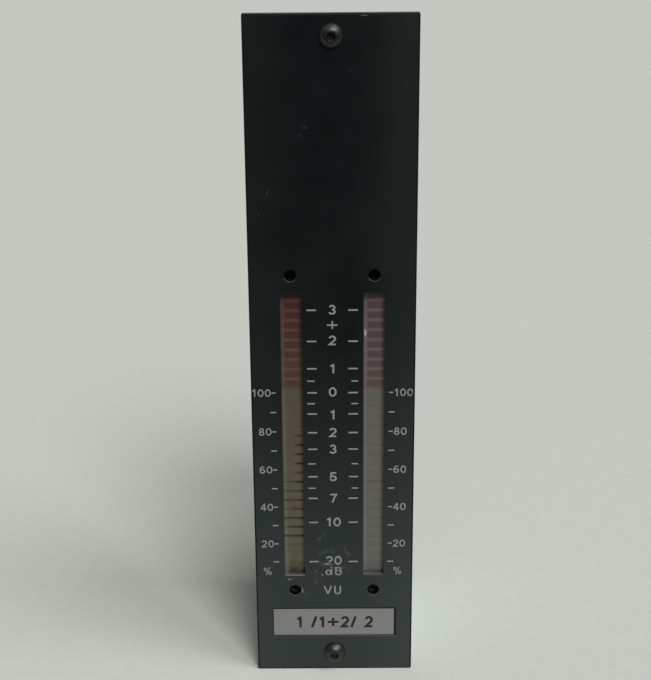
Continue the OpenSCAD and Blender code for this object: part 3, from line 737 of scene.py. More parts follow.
OUTER_EASE, HOLE_EASE = 0.4, 0.1
FIELD_W, FIELD_H = 31.7, 8.3
PANEL_FINISHES = [panel_enamel, panel_edge, left_ledge, right_ledge, field_painted_shade, primer]
ENAMEL, EDGE, LEFT_LEDGE, RIGHT_LEDGE, FIELD, LIT_BARE = range(len(PANEL_FINISHES))
# How far up a face looks, as the Z of its normal: the lip of a hole, and the ledge of a window
LIP_UP, LEDGE_UP = 0.25, 0.5
NEAR = 0.1


def on_outline(edge):
    spots = [v.co / MM for v in edge.verts]
    weld = WELD / MM
    return all(abs(abs(s.x) - PANEL_W / 2) < weld or min(abs(s.z), abs(s.z - PANEL_H)) < weld for s in spots)


def bare_lip(face):
    """Whether a face lies on the upward-facing front lip of an access hole, at its foot. Its pale
    primer is partly wear where tools rub and partly a painted highlight where the lip catches the
    light from above.
    """
    spot = face.calc_center_median() / MM
    beside_hole = min(abs(spot.z - hole_z) for hole_z in ACCESS_ZS) < ACCESS_R + HOLE_EASE
    return beside_hole and spot.y < PANEL_FRONT + HOLE_EASE and face.normal.z > LIP_UP


def dress_panel():
    bm = node_mesh("front_panel")
    edges = sharp_edges(bm)
    outer = [e for e in edges if on_outline(e)]
    inner = [e for e in edges if not on_outline(e)]
    for face in ease(bm, inner, HOLE_EASE, 1):
        face.material_index = LIT_BARE if bare_lip(face) else ENAMEL
    for face in ease(bm, outer, OUTER_EASE):
        face.material_index = EDGE
    for face in bm.faces:
        x, y, z = face.calc_center_median() / MM
        in_window = abs(abs(x) - BAR_X) < WINDOW_W / 2
        in_field = abs(z - STRIP_Z) < FIELD_H / 2 + NEAR and abs(x) < FIELD_W / 2 + NEAR
        if in_window and abs(z - WINDOW_Z) < 2 * NEAR and face.normal.z > LEDGE_UP:
            face.material_index = LEFT_LEDGE if x < 0 else RIGHT_LEDGE
        # The field's floor, seen only in the gaps round the tape, takes the matt black of painted shade
        if in_field and PANEL_FRONT + NEAR < y < -0.5:
            face.material_index = FIELD
    stand_in("front_panel", bm, PANEL_FINISHES)


dress_panel()

# Printed scale: percent of full level runs evenly, and the decibel marks sit at their percentages

INK = 0.02
ZERO_Z, MM_PER_PERCENT = 78.52, 0.51846
# Numbered decibels, and how far each number sits above its tick: they were set one by one
NUMBERED_DB = {3: 0.1, 2: 0.23, 1: 0.0, 0: 0.2, -1: -0.2, -2: 0.05, -3: 0.0, -5: 0.0, -7: 0.0, -10: 0.1,
               -20: 0.33}
MINOR_DB = (0.5, -0.5, -4, -6)
CENTRE_X = -0.08
DIGIT_H, DIGIT_WEIGHT, DIGIT_STRETCH = 2.45, 0.175, 1.12
SIDE_DIGIT_H, SIDE_WEIGHT, SIDE_STRETCH = 2.02, 0.15, 1.05
TICK, MINOR_TICK, SIDE_TICK = 0.38, 0.323, 0.32
# X of the ticks' ends, on the left and on the right
NUMBERED_TICKS, MINOR_TICKS = ((-6.25, -3.95), (3.75, 6.07)), ((-6.25, -4.45), (4.5, 6.12))
TWENTY_TICKS, TEN_TICKS = ((-15.0, -14.0), (13.65, 14.65)), ((-15.4, -13.95), (13.55, 15.1))
SIDE_NUMBER_XS = (-15.15, 14.85)
PLUS_Z, PLUS_H, PLUS_WEIGHT = 96.1, 2.75, 0.13
PERCENT_XS, PERCENT_Z, PERCENT_H, PERCENT_WEIGHT = (-16.95, 16.1), 29.15, 2.2, 0.1
# Unit signs: text, X, Z, height and weight
UNIT_SIGNS, UNIT_STRETCH = (("dB", -0.1, 29.1, 2.4, 0.17), ("VU", -0.35, 23.55, 2.45, 0.15)), 1.15


def percent_z(percent):
    return ZERO_Z + MM_PER_PERCENT * (percent - 100)


def decibel_z(level_db):
    return percent_z(100 * 10 ** (level_db / 20))


ticks, numbers = [], []
for level_db, lift in NUMBERED_DB.items():
    z = decibel_z(level_db)
    ticks += [dash(*span, z, TICK) for span in NUMBERED_TICKS]
    numbers += words(str(abs(level_db)), CENTRE_X, z + lift, DIGIT_H, DIGIT_WEIGHT, stretch=DIGIT_STRETCH)
for level_db in MINOR_DB:
    ticks += [dash(*span, decibel_z(level_db), MINOR_TICK) for span in MINOR_TICKS]
numbers += words("+", CENTRE_X, PLUS_Z, PLUS_H, PLUS_WEIGHT)
flat_layer("decibel_ticks", ticks, PANEL_FRONT, INK, [scale_ink])
flat_layer("decibel_numbers", numbers, PANEL_FRONT, INK, [scale_ink])

ticks, numbers = [], []
for percent in range(10, 101, 10):
    z = percent_z(percent)
    numbered = percent % 20 == 0
    ticks += [dash(*span, z, SIDE_TICK) for span in (TWENTY_TICKS if numbered else TEN_TICKS)]
    if numbered:
        for x, align in zip(SIDE_NUMBER_XS, (1, 0)):
            numbers += words(str(percent), x, z, SIDE_DIGIT_H, SIDE_WEIGHT, align, SIDE_STRETCH)
for x in PERCENT_XS:
    numbers += words("%", x, PERCENT_Z, PERCENT_H, PERCENT_WEIGHT, stretch=SIDE_STRETCH)
flat_layer("percent_ticks", ticks, PANEL_FRONT, INK, [scale_ink])
flat_layer("percent_numbers", numbers, PANEL_FRONT, INK, [scale_ink])
units = [outline for sign in UNIT_SIGNS for outline in words(*sign, stretch=UNIT_STRETCH)]
flat_layer("unit_signs", units, PANEL_FRONT, INK, [scale_ink])

# Name strip with plain figures in the place of its lettering

STRIP_EASE, TAPE_INK = 0.03, 0.012
FIGURES, FIGURE_SHIFT, FIGURE_H, FIGURE_WEIGHT = "1 /1+2/ 2", 0.2, 3.25, 0.205
FIGURE_STRETCH, FIGURE_SPACING = 0.94, 0.16

eased("name_strip", STRIP_EASE, tape)
figures = words(FIGURES, STRIP_X + FIGURE_SHIFT, STRIP_Z, FIGURE_H, FIGURE_WEIGHT,
                stretch=FIGURE_STRETCH, spacing=FIGURE_SPACING)
flat_layer("strip_figures", figures, STRIP_FRONT, TAPE_INK, [tape_print])

# Chips and scratches: small ragged flakes of the enamel, each its X, Z, width and height, and thin lines

FLAKES = ((-11.4, 26.75, 0.75, 0.65), (-10.6, 26.9, 0.3, 0.25), (-8.1, 23.5, 0.5, 1.6),
          (-4.6, 29.0, 0.6, 0.35), (-3.0, 28.0, 0.7, 0.5))
PACKAGE_CHIP, PACKAGE_CHIP_T = (7.85, 93.2, 0.8, 2.1), 0.02
TOP_EDGE_CHIP = (7.45, 169.46, 2.1, 0.26)
SCRATCHES = (([(2.4, 36.2), (3.5, 34.4), (4.4, 33.6)], 0.12), ([(2.6, 34.9), (3.9, 33.2)], 0.1))
FLAKE_T, RAGGED, LIP = 0.006, (0.55, 1.1), 0.16


def flake(x, z, wide, tall, corners=9):
    """Ragged outline of a small flake."""
    outline = []
    for i in range(corners):
        out_x = wide / 2 * cos(tau * i / corners) * dice.uniform(*RAGGED)
        out_z = tall / 2 * sin(tau * i / corners) * dice.uniform(*RAGGED)
        outline.append((x + out_x, z + out_z))
    return outline


flakes = [flake(*spot) for spot in FLAKES]
lip_reach = WINDOW_W / 2 - 0.1
# A strip in the primer's colour along the left window's lower front edge: a painted highlight where that edge
# catches the light from above
lip_highlight = dash(-BAR_X - lip_reach, -BAR_X + lip_reach, WINDOW_Z - LIP, LIP)
package_chip = flake(*PACKAGE_CHIP)
scratches = [ribbon(points, width) for points, width in SCRATCHES] + [flake(*TOP_EDGE_CHIP)]
flat_layer("enamel_flakes_and_lip_highlight", flakes + [lip_highlight], PANEL_FRONT, FLAKE_T, [primer])
flat_layer("package_chip", [package_chip], ARRAY_FRONT, PACKAGE_CHIP_T, [chipped])
flat_layer("enamel_scratches", scratches, PANEL_FRONT, FLAKE_T, [right_ledge])

# Dust in the windows: a low bank on each ledge with a ragged front, packed against the bar's foot

BANK_H, BANK_BACK, BANK_RAGGED = 0.08, 0.15, (0.7, 1.2)
BANK_CLEAR = 0.12


def dust_bank(name, x0, x1, reach, finish, steps=14):
    """A bank from x0 to x1 that comes forward about this far from the back of the ledge."""
    front = [(x0 + (x1 - x0) * i / steps, -reach * dice.uniform(*BANK_RAGGED)) for i in range(steps + 1)]
    bank = flat_layer(name, [front + [(x1, BANK_BACK), (x0, BANK_BACK)]], -WINDOW_Z, BANK_H, [finish])
    bank.data.transform(Matrix.Rotation(radians(-90), 4, "X"))


bank_end = WINDOW_W / 2 - BANK_CLEAR
dust_bank("left_window_chalk", -BAR_X - bank_end, lamp_edge(-1), 0.6, left_ledge, 4)
dust_bank("left_window_dust", lamp_edge(-1), -BAR_X + bank_end, 1.35, left_dust)
dust_bank("right_window_dust", BAR_X - bank_end, BAR_X + bank_end, 0.7, right_dust)

# Light bars: packages and lamp faces

PACKAGE_EASE, LAMP_EASE = 0.08, 0.03

for bar_name in BARS:
    for row, tint in (("lower", "cream"), ("middle", "cream"), ("red", "red")):
        eased(f"{bar_name}_{row}_array", PACKAGE_EASE, bar_bodies[f"{bar_name}_{tint}"])
        eased(f"{bar_name}_{row}_segments", LAMP_EASE, bar_faces[f"{bar_name}_{tint}"])

# Trimmers behind the access holes: only outer edges are eased, so that the pockets stay clear of the rotors

TRIMMER_EASE, ROTOR_EASE = 0.25, 0.1
TRIMMER_FINISHES = {"lower": (pale_lower_trimmer, pale_lower_rotor), "upper": (trimmer_black, rotor_black)}

for end, (housing_finish, rotor_finish) in TRIMMER_FINISHES.items():
    for bar_name in BARS:
        bm = node_mesh(f"{end}_{bar_name}_trimmer")
        ease(bm, [e for e in sharp_edges(bm) if e.is_convex], TRIMMER_EASE)
        stand_in(f"{end}_{bar_name}_trimmer", bm, [housing_finish])
        eased(f"{end}_{bar_name}_rotor", ROTOR_EASE, rotor_finish)

# Fixing screws: the CAD head and waist, and a rolled thread with its true ridge

SHANK_CLEAR, THREAD_PITCH = 0.05, 0.5
THREAD_FROM = box_mm("top_screw_retainer")[1][1] + SHANK_CLEAR
THREAD_TO = box_mm("top_fixing_screw")[1][1]
CREST_R, ROOT_R, TIP_R, TIP_TAPER = 1.5, 1.2, 1.05, 0.7
# Ridge of the thread: how steep its flanks are, and how much of it the flat of the root takes
FLANK, ROOT_FLAT = 1.3, 0.15
THREAD_SIDES, RINGS_PER_TURN = 28, 8
SCREW_EASE, RETAINER_EASE, THREAD_LAP = 0.07, 0.15, 0.01


def thread_radius(y, share):
    """Radius of the thread at a height, a share of a turn round from its start."""
    phase = ((y - THREAD_FROM) / THREAD_PITCH - share) % 1
    ridge = min(1.0, max(0.0, FLANK * (1 - abs(2 * phase - 1)) - ROOT_FLAT))
    tip = TIP_R + (THREAD_TO - y) * (CREST_R - TIP_R) / TIP_TAPER
    return min(ROOT_R + (CREST_R - ROOT_R) * ridge, tip)


def rolled_thread(bm, z):
    """Adds a single-start thread along Y as a tube whose radius follows the ridge."""
    count = int((THREAD_TO - THREAD_FROM) / THREAD_PITCH * RINGS_PER_TURN)
    rings = []
    for k in range(count + 1):
        y = THREAD_FROM + (THREAD_TO - THREAD_FROM) * k / count
        spots = []
        for i in range(THREAD_SIDES):
            radius, turn = thread_radius(y, i / THREAD_SIDES), tau * i / THREAD_SIDES
            spots.append(Vector((radius * cos(turn), y, z + radius * sin(turn))))
        rings.append([bm.verts.new(spot * MM) for spot in spots])
    skin(bm, rings)


for end, z in FIXING_ZS.items():
    bm = node_mesh(f"{end}_fixing_screw")
    rim = split_across(bm, THREAD_FROM - THREAD_LAP, keep_behind=False)
    bmesh.ops.edgeloop_fill(bm, edges=rim)
    ease(bm, sharp_edges(bm), SCREW_EASE)
    rolled_thread(bm, z)
    bmesh.ops.recalc_face_normals(bm, faces=bm.faces)
    stand_in(f"{end}_fixing_screw", bm, [screw_black])
    eased(f"{end}_screw_retainer", RETAINER_EASE, nylon)

# Boards, spacers, studs, screws and stacking connectors

# Edges that a connector strip's moulding rounds: longer than this, and nearly square
LONG_EDGE, SQUARE = 1.2 * MM, radians(80)
STRIP_ROUND = 0.08


def notched_strip(node, mouth, depth):
    """Shows a connector strip with the notch that its moulding has between positions on both sides."""
    low, high = (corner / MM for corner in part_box(node))
    step = (high.z - low.z) / SEGMENTS
    edge = [(0.0, low.z)]
    for i in range(1, SEGMENTS):
        z = low.z + i * step
        edge += [(0.0, z - mouth / 2), (depth, z - mouth / 8), (depth, z + mouth / 8), (0.0, z + mouth / 2)]
    edge.append((0.0, high.z))
    outline = [(low.x + inset, z) for inset, z in edge] + [(high.x - inset, z) for inset, z in edge[::-1]]
    bm = bmesh.new()
    skin(bm, [[bm.verts.new(Vector((x, y, z)) * MM) for x, z in outline] for y in (low.y, high.y)])
    bmesh.ops.recalc_face_normals(bm, faces=bm.faces)
    rounded = [e for e in sharp_edges(bm) if e.calc_length() > LONG_EDGE and e.calc_face_angle() > SQUARE]
    ease(bm, rounded, STRIP_ROUND)
    stand_in(node, bm, [connector_black])


for node in ("display_board", "driver_board"):
    eased(node, 0.08, board_green)
eased("panel_studs", 0.08, zinc)
eased("board_screws", 0.2, zinc)
eased("tie_rod_screws", 0.2, zinc)
for node in ("front_spacers", "rear_spacers"):
    eased(node, 0.15, nickel)
for end in ENDS:
    eased(f"{end}_tie_rod", 0.2, rod_metal)
for bar_name in BARS:
    eased(f"{bar_name}_side_plate", 0.15, plate_metal)
    notched_strip(f"{bar_name}_pin_strip", 0.5, 0.45)
    notched_strip(f"{bar_name}_socket_strip", 0.3, 0.22)
eased("stacking_pins", 0.06, gold)
eased("header_pins", 0.12, gold)
eased("box_header", 0.15, connector_black)

# Chips: moulded body, tinned legs

CHIP_W, CHIP_T, CHIP_LIFT, LEG_X, LEG_T = 6.35, 3.3, 0.5, 3.81, 0.3
DRAFT, CHIP_EASE = 0.14, 0.07
# How close a point lies to a face to belong to it, and how far past the body a leg begins
CLOSE, LEG_CLEAR = 0.01, 0.03
AMPLIFIER_X, _, AMPLIFIER_Z = middle_mm("right_amplifier")
CHIP_UNDERSIDE = DRIVER_BACK + CHIP_LIFT
PARTING = CHIP_UNDERSIDE + (CHIP_T + LEG_T) / 2


def dress_chip(node, x, z, lying):
    """Shows a chip whose body tapers both ways from the parting line of its mould, at mid height."""
    bm = node_mesh(node)
    split_across(bm, PARTING)
    across, along = (2, 0) if lying else (0, 2)
    middle = {0: x, 2: z}
    half = max(abs(v.co[along] / MM - middle[along]) for v in bm.verts)
    for v in bm.verts:
        spot = v.co / MM
        inward = DRAFT * abs(spot.y - PARTING)
        in_body = abs(spot[across] - middle[across]) < CHIP_W / 2 + CLOSE and spot.y > CHIP_UNDERSIDE - CLOSE
        for axis, reach in ((across, CHIP_W / 2), (along, half)):
            off = spot[axis] - middle[axis]
            if in_body and abs(off) > reach - CLOSE:
                v.co[axis] -= inward * MM * (1 if off > 0 else -1)
    ease(bm, sharp_edges(bm), CHIP_EASE)
    for face in bm.faces:
        spot = face.calc_center_median() / MM
        outside = abs(spot[across] - middle[across]) > CHIP_W / 2 + LEG_CLEAR
        face.material_index = int(outside or spot.y < CHIP_UNDERSIDE - LEG_CLEAR)
    stand_in(node, bm, [chip_epoxy, tinned])


driver_places, amplifier_places = [], []
for side, bar_name in zip(SIDES, BARS):
    for row, z in zip(LEVELS, LEVEL_ZS):
        driver_places.append((side * BAR_X, z))
        dress_chip(f"{bar_name}_{row}_driver", side * BAR_X, z, False)
    amplifier_places.append((side * AMPLIFIER_X, AMPLIFIER_Z))
    dress_chip(f"{bar_name}_amplifier", side * AMPLIFIER_X, AMPLIFIER_Z, True)

# Resistor networks: dipped bodies that stand on a row of flat legs

NETWORK_LIFT, NETWORK_LEGS, NETWORK_CLEAR = 0.9, 9, 0.02
NETWORK_LEG_HALF, NETWORK_LEG_LAP = (0.13, 0.25), 0.3
DIP_ROUND, DIP_STEPS, FLAT_LEG_EASE = 0.75, 4, 0.04


def row_of(count, middle):
    """Heights of a row of legs at the standard pitch."""
    return [middle + (i - (count - 1) / 2) * PITCH for i in range(count)]


def dress_networks():
    low, high = (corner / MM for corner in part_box("resistor_networks"))
    half_l = (high.z - LEVEL_ZS[-1]) - NETWORK_CLEAR
    half_x, half_z = NETWORK_LEG_HALF
    top = low.y + NETWORK_LIFT
    bodies, legs = bmesh.new(), bmesh.new()
    for z in LEVEL_ZS:
        add_block(bodies, (low.x, top, z - half_l), (high.x, high.y, z + half_l))
        for leg_z in row_of(NETWORK_LEGS, z):
            add_block(legs, (-half_x, low.y, leg_z - half_z), (half_x, top + NETWORK_LEG_LAP, leg_z + half_z))
    ease(bodies, bodies.edges[:], DIP_ROUND, DIP_STEPS)
    ease(legs, legs.edges[:], FLAT_LEG_EASE, 1)
    for face in legs.faces:
        face.material_index = 1
    joined = bpy.data.meshes.new("network_legs")
    legs.to_mesh(joined)
    legs.free()
    bodies.from_mesh(joined)
    bpy.data.meshes.remove(joined)
    stand_in("resistor_networks", bodies, [network_lacquer, tinned])


dress_networks()
eased("film_capacitors", 0.35, film_red)

# Resistors: bodies with swollen ends, bent leads and painted bands

RESISTOR_STEP, RESISTOR_D, RESISTOR_L, RESISTOR_LIFT = 6.35, 2.3, 6.0, 0.05
RESISTOR_X = round(box_mm("resistors")[1][0] - RESISTOR_D / 2, 3)
RESISTOR_SIDES, RESISTOR_RINGS = 20, 24
# Shape of the body: its slim middle as a share of the ends, where these begin to swell, over what
# length, and the length of their round shoulders
SLIM, SWELL_FROM, SWELL_L, SHOULDER = 0.84, 1.3, 0.9, 0.55
LEAD_D, LEAD_FROM, LEAD_OUT, LEAD_BEND = 0.6, 2.7, 4.1, 0.5
BAND_ORDERS = (("brown", "black", "orange", "gold"), ("red", "red", "brown", "gold"),
               ("orange", "orange", "red", "gold"))
BAND_PLACES, BAND_W, BAND_SUNK, BAND_PROUD = (-2.25, -1.25, -0.35, 1.9), 0.5, 0.05, 0.02

resistor_places = [(side * RESISTOR_X, z + half * RESISTOR_STEP)
                   for side in SIDES for z in LEVEL_ZS for half in SIDES]


def waist(height):
    """Radius of a resistor's body at this height from its middle."""
    swell = min(1.0, max(0.0, (abs(height) - SWELL_FROM) / SWELL_L))
    return RESISTOR_D / 2 * (SLIM + (1 - SLIM) * swell ** 2)


def resistor_profile():
    half = RESISTOR_L / 2
    shape = []
    for i in range(RESISTOR_RINGS + 1):
        height = half * (-1 + 2 * i / RESISTOR_RINGS)
        drop = max(0.0, abs(height) - (half - SHOULDER)) / SHOULDER
        shape.append((max(waist(height) * (1 - drop ** 2) ** 0.5, LEAD_D / 2), height))
    return shape


def band_profile(place):
    """A hoop of paint that follows the body, with its edges sunk into it."""
    half = BAND_W / 2
    lifts = ((-half, -BAND_SUNK), (-half, BAND_PROUD), (0, BAND_PROUD), (half, BAND_PROUD),
             (half, -BAND_SUNK))
    return [(waist(place + d) + lift, place + d) for d, lift in lifts]


def dress_resistors():
    bm = bmesh.new()
    bands = {name: bmesh.new() for name in paints}
    axis_y = DRIVER_BACK + RESISTOR_D / 2 + RESISTOR_LIFT
    elbow = LEAD_OUT - LEAD_BEND
    lead = [(0, LEAD_FROM), (0, elbow)] + arc(-LEAD_BEND, elbow, LEAD_BEND, LEAD_BEND, 0, 90, 4)[1:]
    lead.append((DRIVER_BACK - axis_y, LEAD_OUT))
    for number, (x, z) in enumerate(resistor_places):
        place = upright(x, axis_y, z)
        turned(bm, resistor_profile(), place, RESISTOR_SIDES)
        for end in SIDES:
            wire(bm, [(x, axis_y + dy, z + dz * end) for dy, dz in lead], LEAD_D, 1)
        for name, band_place in zip(BAND_ORDERS[number % len(BAND_ORDERS)], BAND_PLACES):
            turned(bands[name], band_profile(band_place), place, RESISTOR_SIDES)
    stand_in("resistors", bm, [resistor_lacquer, tinned])
    for name, hoops in bands.items():
        piece(f"resistor_{name}_bands", hoops, [paints[name]])


dress_resistors()

# Electrolytic capacitors: sleeve rolled over the can's end, printed stripe, scored vent

CAN_D, CAN_SIDES, GROOVE = 6.3, 48, 1.65
CAN_X = round(box_mm("electrolytic_capacitors")[1][0] - CAN_D / 2, 3)
CAN_H = span_mm("electrolytic_capacitors")[1]
END_INSET, END_DROP = 1.05, 0.1
# Stripe: where it begins, how far below the end it stops, how far in from the sleeve's outside a face
# still takes it, and half its angle
STRIPE_FROM, STRIPE_SHORT, STRIPE_DEEP, STRIPE_HALF = 2.4, 0.4, 0.15, radians(31)
VENT_REACH, VENT_W, VENT_T, VENT_TURNS = 1.3, 0.16, 0.012, (radians(35), radians(125))

can_places = [(side * CAN_X, z) for side in SIDES for z in CORNER_ZS]


def striped(spot):
    """Whether a point in mm lies on the stripe, which faces outwards on each can."""
    x, z = min(can_places, key=lambda can: (spot.x - can[0]) ** 2 + (spot.z - can[1]) ** 2)
    out, along = Vector((spot.x - x, spot.z - z)), spot.y - DRIVER_BACK
    outward = Vector((-1 if x < 0 else 1, 0))
    on_sleeve = STRIPE_FROM < along < CAN_H - STRIPE_SHORT and out.length > CAN_D / 2 - STRIPE_DEEP
    return on_sleeve and out.normalized().dot(outward) > cos(STRIPE_HALF)


def dress_capacitors():
    bm = bmesh.new()
    r = CAN_D / 2
    sleeve = [(r - 0.25, 0), (r, 0.25), (r, GROOVE - 0.15), (r - 0.2, GROOVE), (r - 0.4, GROOVE + 0.2),
              (r - 0.2, GROOVE + 0.4), (r, GROOVE + 0.55), (r, CAN_H - 0.7), (r - 0.1, CAN_H - 0.35),
              (r - 0.35, CAN_H - 0.08), (r - 0.7, CAN_H), (r - 1.0, CAN_H - 0.03),
              (r - END_INSET, CAN_H - 0.12)]
    end_disc = [(r - END_INSET, CAN_H - 0.14), (r - END_INSET, CAN_H - END_DROP), (0, CAN_H - END_DROP)]
    for x, z in can_places:
        place = facing(x, DRIVER_BACK, z, 1)
        turned(bm, sleeve, place, CAN_SIDES, 0)
        turned(bm, end_disc, place, CAN_SIDES, 1)
    for face in bm.faces:
        if face.material_index == 0 and striped(face.calc_center_median() / MM):
            face.material_index = 2
    stand_in("electrolytic_capacitors", bm, [sleeve_blue, can_metal, sleeve_stripe])
    vents = []
    for x, z in can_places:
        for turn in VENT_TURNS:
            dx, dz = VENT_REACH * cos(turn), VENT_REACH * sin(turn)
            vents.append(ribbon([(x - dx, z - dz), (x + dx, z + dz)], VENT_W))
    flat_layer("can_vent_scores", vents, DRIVER_BACK + CAN_H - END_DROP, VENT_T, [connector_black], way=1)


dress_capacitors()

# Solder joints and pin ends on the boards

# Radius and height along a joint with a cut-off pin in it, and along a low collar round a leg
JOINT = [(0.82, -0.01), (0.82, 0.04), (0.6, 0.07), (0.46, 0.2), (0.38, 0.42), (0.33, 0.62), (0.22, 0.7),
         (0, 0.72)]
COLLAR = [(0.82, -0.01), (0.82, 0.04), (0.62, 0.07), (0.5, 0.18), (0.42, 0.34), (0.2, 0.4), (0, 0.4)]
JOINT_SIDES, JOINT_SWELL = 10, (0.9, 1.08)
DRIVER_LEGS, AMPLIFIER_LEGS = 9, 4
TRIMMER_LEGS = ((-PITCH, -PITCH / 2), (PITCH, -PITCH / 2), (0, PITCH / 2))
CONTACT_X = middle_mm("right_pin_strip")[0]


def chip_legs(count, x, z, lying):
    """Places of a chip's legs in X and Z, with this many on each side."""
    rows = [(side * LEG_X, along) for side in SIDES for along in row_of(count, 0)]
    return [(x + b, z + a) if lying else (x + a, z + b) for a, b in rows]


contact_zs = [WINDOW_Z + (i + 0.5) * PITCH for i in range(SEGMENTS)]
contact_ends = [(side * CONTACT_X, z) for side in SIDES for z in contact_zs]
driver_legs = [leg for x, z in driver_places for leg in chip_legs(DRIVER_LEGS, x, z, False)]
amplifier_legs = [leg for x, z in amplifier_places for leg in chip_legs(AMPLIFIER_LEGS, x, z, True)]
array_legs = [(side * BAR_X + ARRAY_SHIFT + row * LEG_X, z) for side in SIDES for row in SIDES
              for z in contact_zs]
trimmer_legs = [(side * BAR_X + dx, z + dz) for side in SIDES for z in ACCESS_ZS for dx, dz in TRIMMER_LEGS]
resistor_legs = [(x, z + end * LEAD_OUT) for x, z in resistor_places for end in SIDES]
network_legs = [(0.0, leg_z) for z in LEVEL_ZS for leg_z in row_of(NETWORK_LEGS, z)]


def joints(name, groups):
    """One mesh of solder joints: each group is places in X and Z, the face's Y, its way and the shape."""
    bm = bmesh.new()
    for places, y, way, shape in groups:
        for x, z in places:
            swell = dice.uniform(*JOINT_SWELL)
            turned(bm, [(r * swell, h * swell) for r, h in shape], facing(x, y, z, way), JOINT_SIDES)
    return piece(name, bm, [solder_tin])


through_legs = driver_legs + amplifier_legs + resistor_legs
joints("driver_board_joints", [
    (through_legs, DRIVER_BACK, 1, COLLAR),
    (contact_ends, DRIVER_BACK, 1, JOINT),
    (through_legs + network_legs, DRIVER_FRONT, -1, JOINT)])
joints("display_board_joints", [(array_legs + trimmer_legs, DISPLAY_BACK, 1, JOINT)])

# Copper tracks on the driver board

TRACK_W, TRACK_T, JOG = 0.42, 0.03, 0.35
# X of the stops of a track that runs inwards from a driver chip
INNER_STOPS = (2.4, 1.0)
# Tracks on both halves of the board: points on the right half, and the width
BOARD_TRACKS = (
    ([(9.2, 27.2), (9.2, 105.0)], 1.1),
    ([(5.2, 28.6), (5.2, 103.6)], 0.5),
    ([(AMPLIFIER_X, 19.0), (AMPLIFIER_X, CORNER_ZS[0]), (CAN_X, CORNER_ZS[0])], 0.8),
    ([(CAN_X, CORNER_ZS[1]), (8.6, CORNER_ZS[1]), (8.6, ACCESS_ZS[1])], 0.8),
    ([(RESISTOR_X, 26.2), (RESISTOR_X, 29.0)], TRACK_W),
)


def driver_tracks(x, z):
    """Tracks of one driver chip: from its outer legs to the connector, and from its inner legs inwards."""
    side = 1 if x > 0 else -1
    outer, inner = side * (BAR_X + LEG_X), side * (BAR_X - LEG_X)
    made = []
    for leg_z in row_of(DRIVER_LEGS, z):
        contact_z = leg_z + PITCH / 2
        outwards = [(outer, leg_z), (outer + side * JOG, leg_z + JOG),
                    (side * (CONTACT_X - JOG), contact_z - JOG), (side * CONTACT_X, contact_z)]
        inwards = [(inner, leg_z)] + [(side * stop, leg_z) for stop in INNER_STOPS]
        made += [ribbon(outwards, TRACK_W), ribbon(inwards, TRACK_W)]
    return made


tracks = [track for x, z in driver_places for track in driver_tracks(x, z)]
for side in SIDES:
    tracks += [ribbon([(side * x, z) for x, z in points], width) for points, width in BOARD_TRACKS]
flat_layer("driver_board_tracks", tracks, DRIVER_BACK, TRACK_T, [track_green], way=1)

# White outlines printed round the components

PRINT_LINE, PRINT_T, PRINT_GAP, CAN_PRINT_GAP = 0.22, 0.045, 0.3, 0.35
FILM_HALF_W, FILM_L = 1.25, span_mm("film_capacitors")[2]
FILM_X = box_mm("film_capacitors")[1][0] - FILM_HALF_W
HEADER_W, _, HEADER_H = span_mm("box_header")
HEADER_Z = middle_mm("box_header")[2]
CHIP_PRINT_INSET = 0.5


def printed_box(x, z, half_x, half_z):
    """Four printed lines round a body's place."""
    wide, tall = half_x + PRINT_GAP, half_z + PRINT_GAP
    level_lines = [dash(x - wide, x + wide, z + end * tall, PRINT_LINE) for end in SIDES]
    sides = [[(x + end * wide, z - tall), (x + end * wide, z + tall)] for end in SIDES]
    return level_lines + [ribbon(line, PRINT_LINE) for line in sides]


def printed_ring(x, z, radius):
    """A printed circle, as its two halves."""
    return [ribbon(arc(x, z, radius, radius, begin, begin + 180, 24), PRINT_LINE) for begin in (0, 180)]


outlines = printed_box(0.0, HEADER_Z, HEADER_W / 2, HEADER_H / 2)
for side in SIDES:
    outlines += printed_box(side * FILM_X, HEADER_Z, FILM_HALF_W, FILM_L / 2)
    for z in CORNER_ZS:
        outlines += printed_ring(side * CAN_X, z, CAN_D / 2 + CAN_PRINT_GAP)
for x, z in resistor_places:
    outlines += printed_box(x, z, RESISTOR_D / 2, RESISTOR_L / 2)
for x, z in driver_places:
    outlines += printed_box(x, z, CHIP_W / 2 - CHIP_PRINT_INSET, DRIVER_LEGS * PITCH / 2)
flat_layer("driver_board_print", outlines, DRIVER_BACK, PRINT_T, [board_print], way=1)

# Floor and light: a pale matt sheet, an even sky and two broad lamps

FLOOR_PALE, FLOOR_SPAN = "#c9cec7", 8.0
# Y over which the floor fades in reflections, and what is left of it there
MIRROR_FADE, MIRROR_LEAST = (-220, -20), 0.01
FILL = 0.3
# Lamps: the way to each from the object, its spread and its strength
LAMPS = {
    "front_lamp": ((0.3, -0.95, 1.05), radians(22), 2.0),
    "right_lamp": ((0.6, -0.3, 0.9), radians(30), 1.15),
}


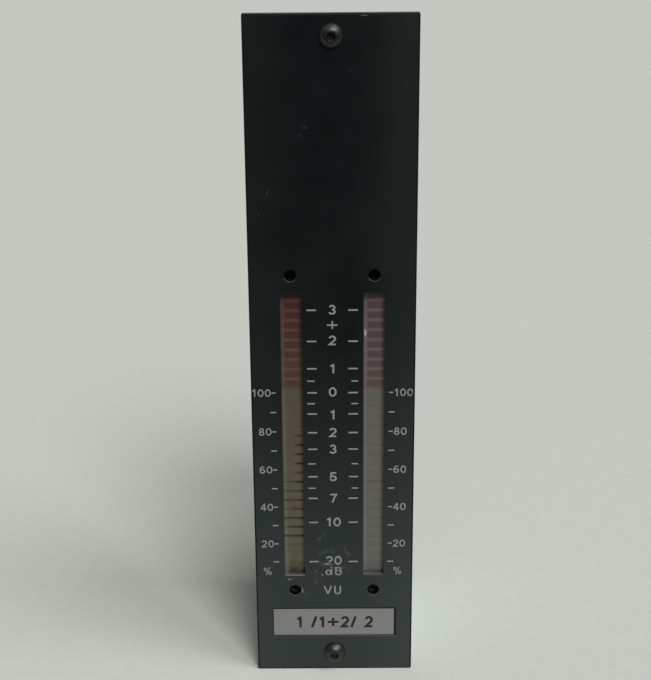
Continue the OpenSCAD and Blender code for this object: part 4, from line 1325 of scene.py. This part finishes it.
def lay_floor():
    """Pale matt floor. In reflections it dims a hand's breadth in front of the panel, where a real
    table would end, so the satin panel grows darker towards its head."""
    bm = bmesh.new()
    bmesh.ops.create_grid(bm, x_segments=1, y_segments=1, size=FLOOR_SPAN / 2)
    mesh = bpy.data.meshes.new("floor")
    bm.to_mesh(mesh)
    bm.free()
    floor = bpy.data.objects.new("floor", mesh)
    scene.collection.objects.link(floor)
    made, tree, shader, place = start("pale_matt_sheet", {"Roughness": 0.9, "IOR": 1.3})
    cloud = add(tree, "TexNoise", {"Vector": place, "Scale": per_mm(2.5), "Detail": 2.0})
    shade = add(tree, "MapRange", {0: cloud.outputs[0], 1: 0.3, 2: 0.7, 3: 0.98, 4: 1.02})
    ray = add(tree, "LightPath")
    axes = add(tree, "SeparateXYZ", {0: place})
    far, near = MIRROR_FADE
    fade = add(tree, "MapRange", {0: axes.outputs[1], 1: far * MM, 2: near * MM, 3: MIRROR_LEAST, 4: 1.0},
               interpolation_type="SMOOTHSTEP")
    seen = add(tree, "Mix", {0: ray.outputs["Is Glossy Ray"], 2: 1.0, 3: fade.outputs[0]}, data_type="FLOAT")
    dim = add(tree, "Math", {0: shade.outputs[0], 1: seen.outputs[0]}, operation="MULTIPLY")
    tint = add(tree, "VectorMath", {0: srgb(FLOOR_PALE)[:3], "Scale": dim.outputs[0]}, operation="SCALE")
    tree.links.new(tint.outputs[0], shader.inputs["Base Color"])
    mesh.materials.append(made)


def light_room():
    """Even pale sky. Reflections and see-through rays meet it too, but the side behind the viewer is
    dim there, as a room is. One broad lamp stands high in front and a broader one to the right."""
    world = bpy.data.worlds.new("room")
    scene.world = world
    world.use_nodes = True
    tree = world.node_tree
    ray = add(tree, "LightPath")
    way = add(tree, "SeparateXYZ", {0: add(tree, "TexCoord").outputs["Generated"]})
    behind = add(tree, "MapRange", {0: way.outputs[1], 1: -0.25, 2: 0.15, 3: 0.03, 4: 1.0})
    above = add(tree, "MapRange", {0: way.outputs[2], 1: 0.25, 2: 0.9, 3: 0.0, 4: 0.6})
    mirrored = add(tree, "Math", {0: behind.outputs[0], 1: above.outputs[0]}, operation="MAXIMUM")
    soft = add(tree, "Mix", {0: ray.outputs["Is Glossy Ray"], 2: FILL, 3: mirrored.outputs[0]},
               data_type="FLOAT")
    open_view = add(tree, "Math", {0: ray.outputs["Is Camera Ray"], 1: ray.outputs["Is Transmission Ray"]},
                    operation="MAXIMUM")
    glow = add(tree, "Mix", {0: open_view.outputs[0], 2: soft.outputs[0], 3: 1.0}, data_type="FLOAT")
    sky = tree.nodes["Background"]
    sky.inputs["Color"].default_value = srgb(FLOOR_PALE)
    tree.links.new(glow.outputs[0], sky.inputs["Strength"])
    for name, (toward, spread, strength) in LAMPS.items():
        lamp = bpy.data.lights.new(name, "SUN")
        lamp.angle = spread
        lamp.energy = strength
        holder = bpy.data.objects.new(name, lamp)
        holder.rotation_mode = "QUATERNION"
        holder.rotation_quaternion = Vector(toward).to_track_quat("Z", "Y")
        scene.collection.objects.link(holder)


lay_floor()
light_room()
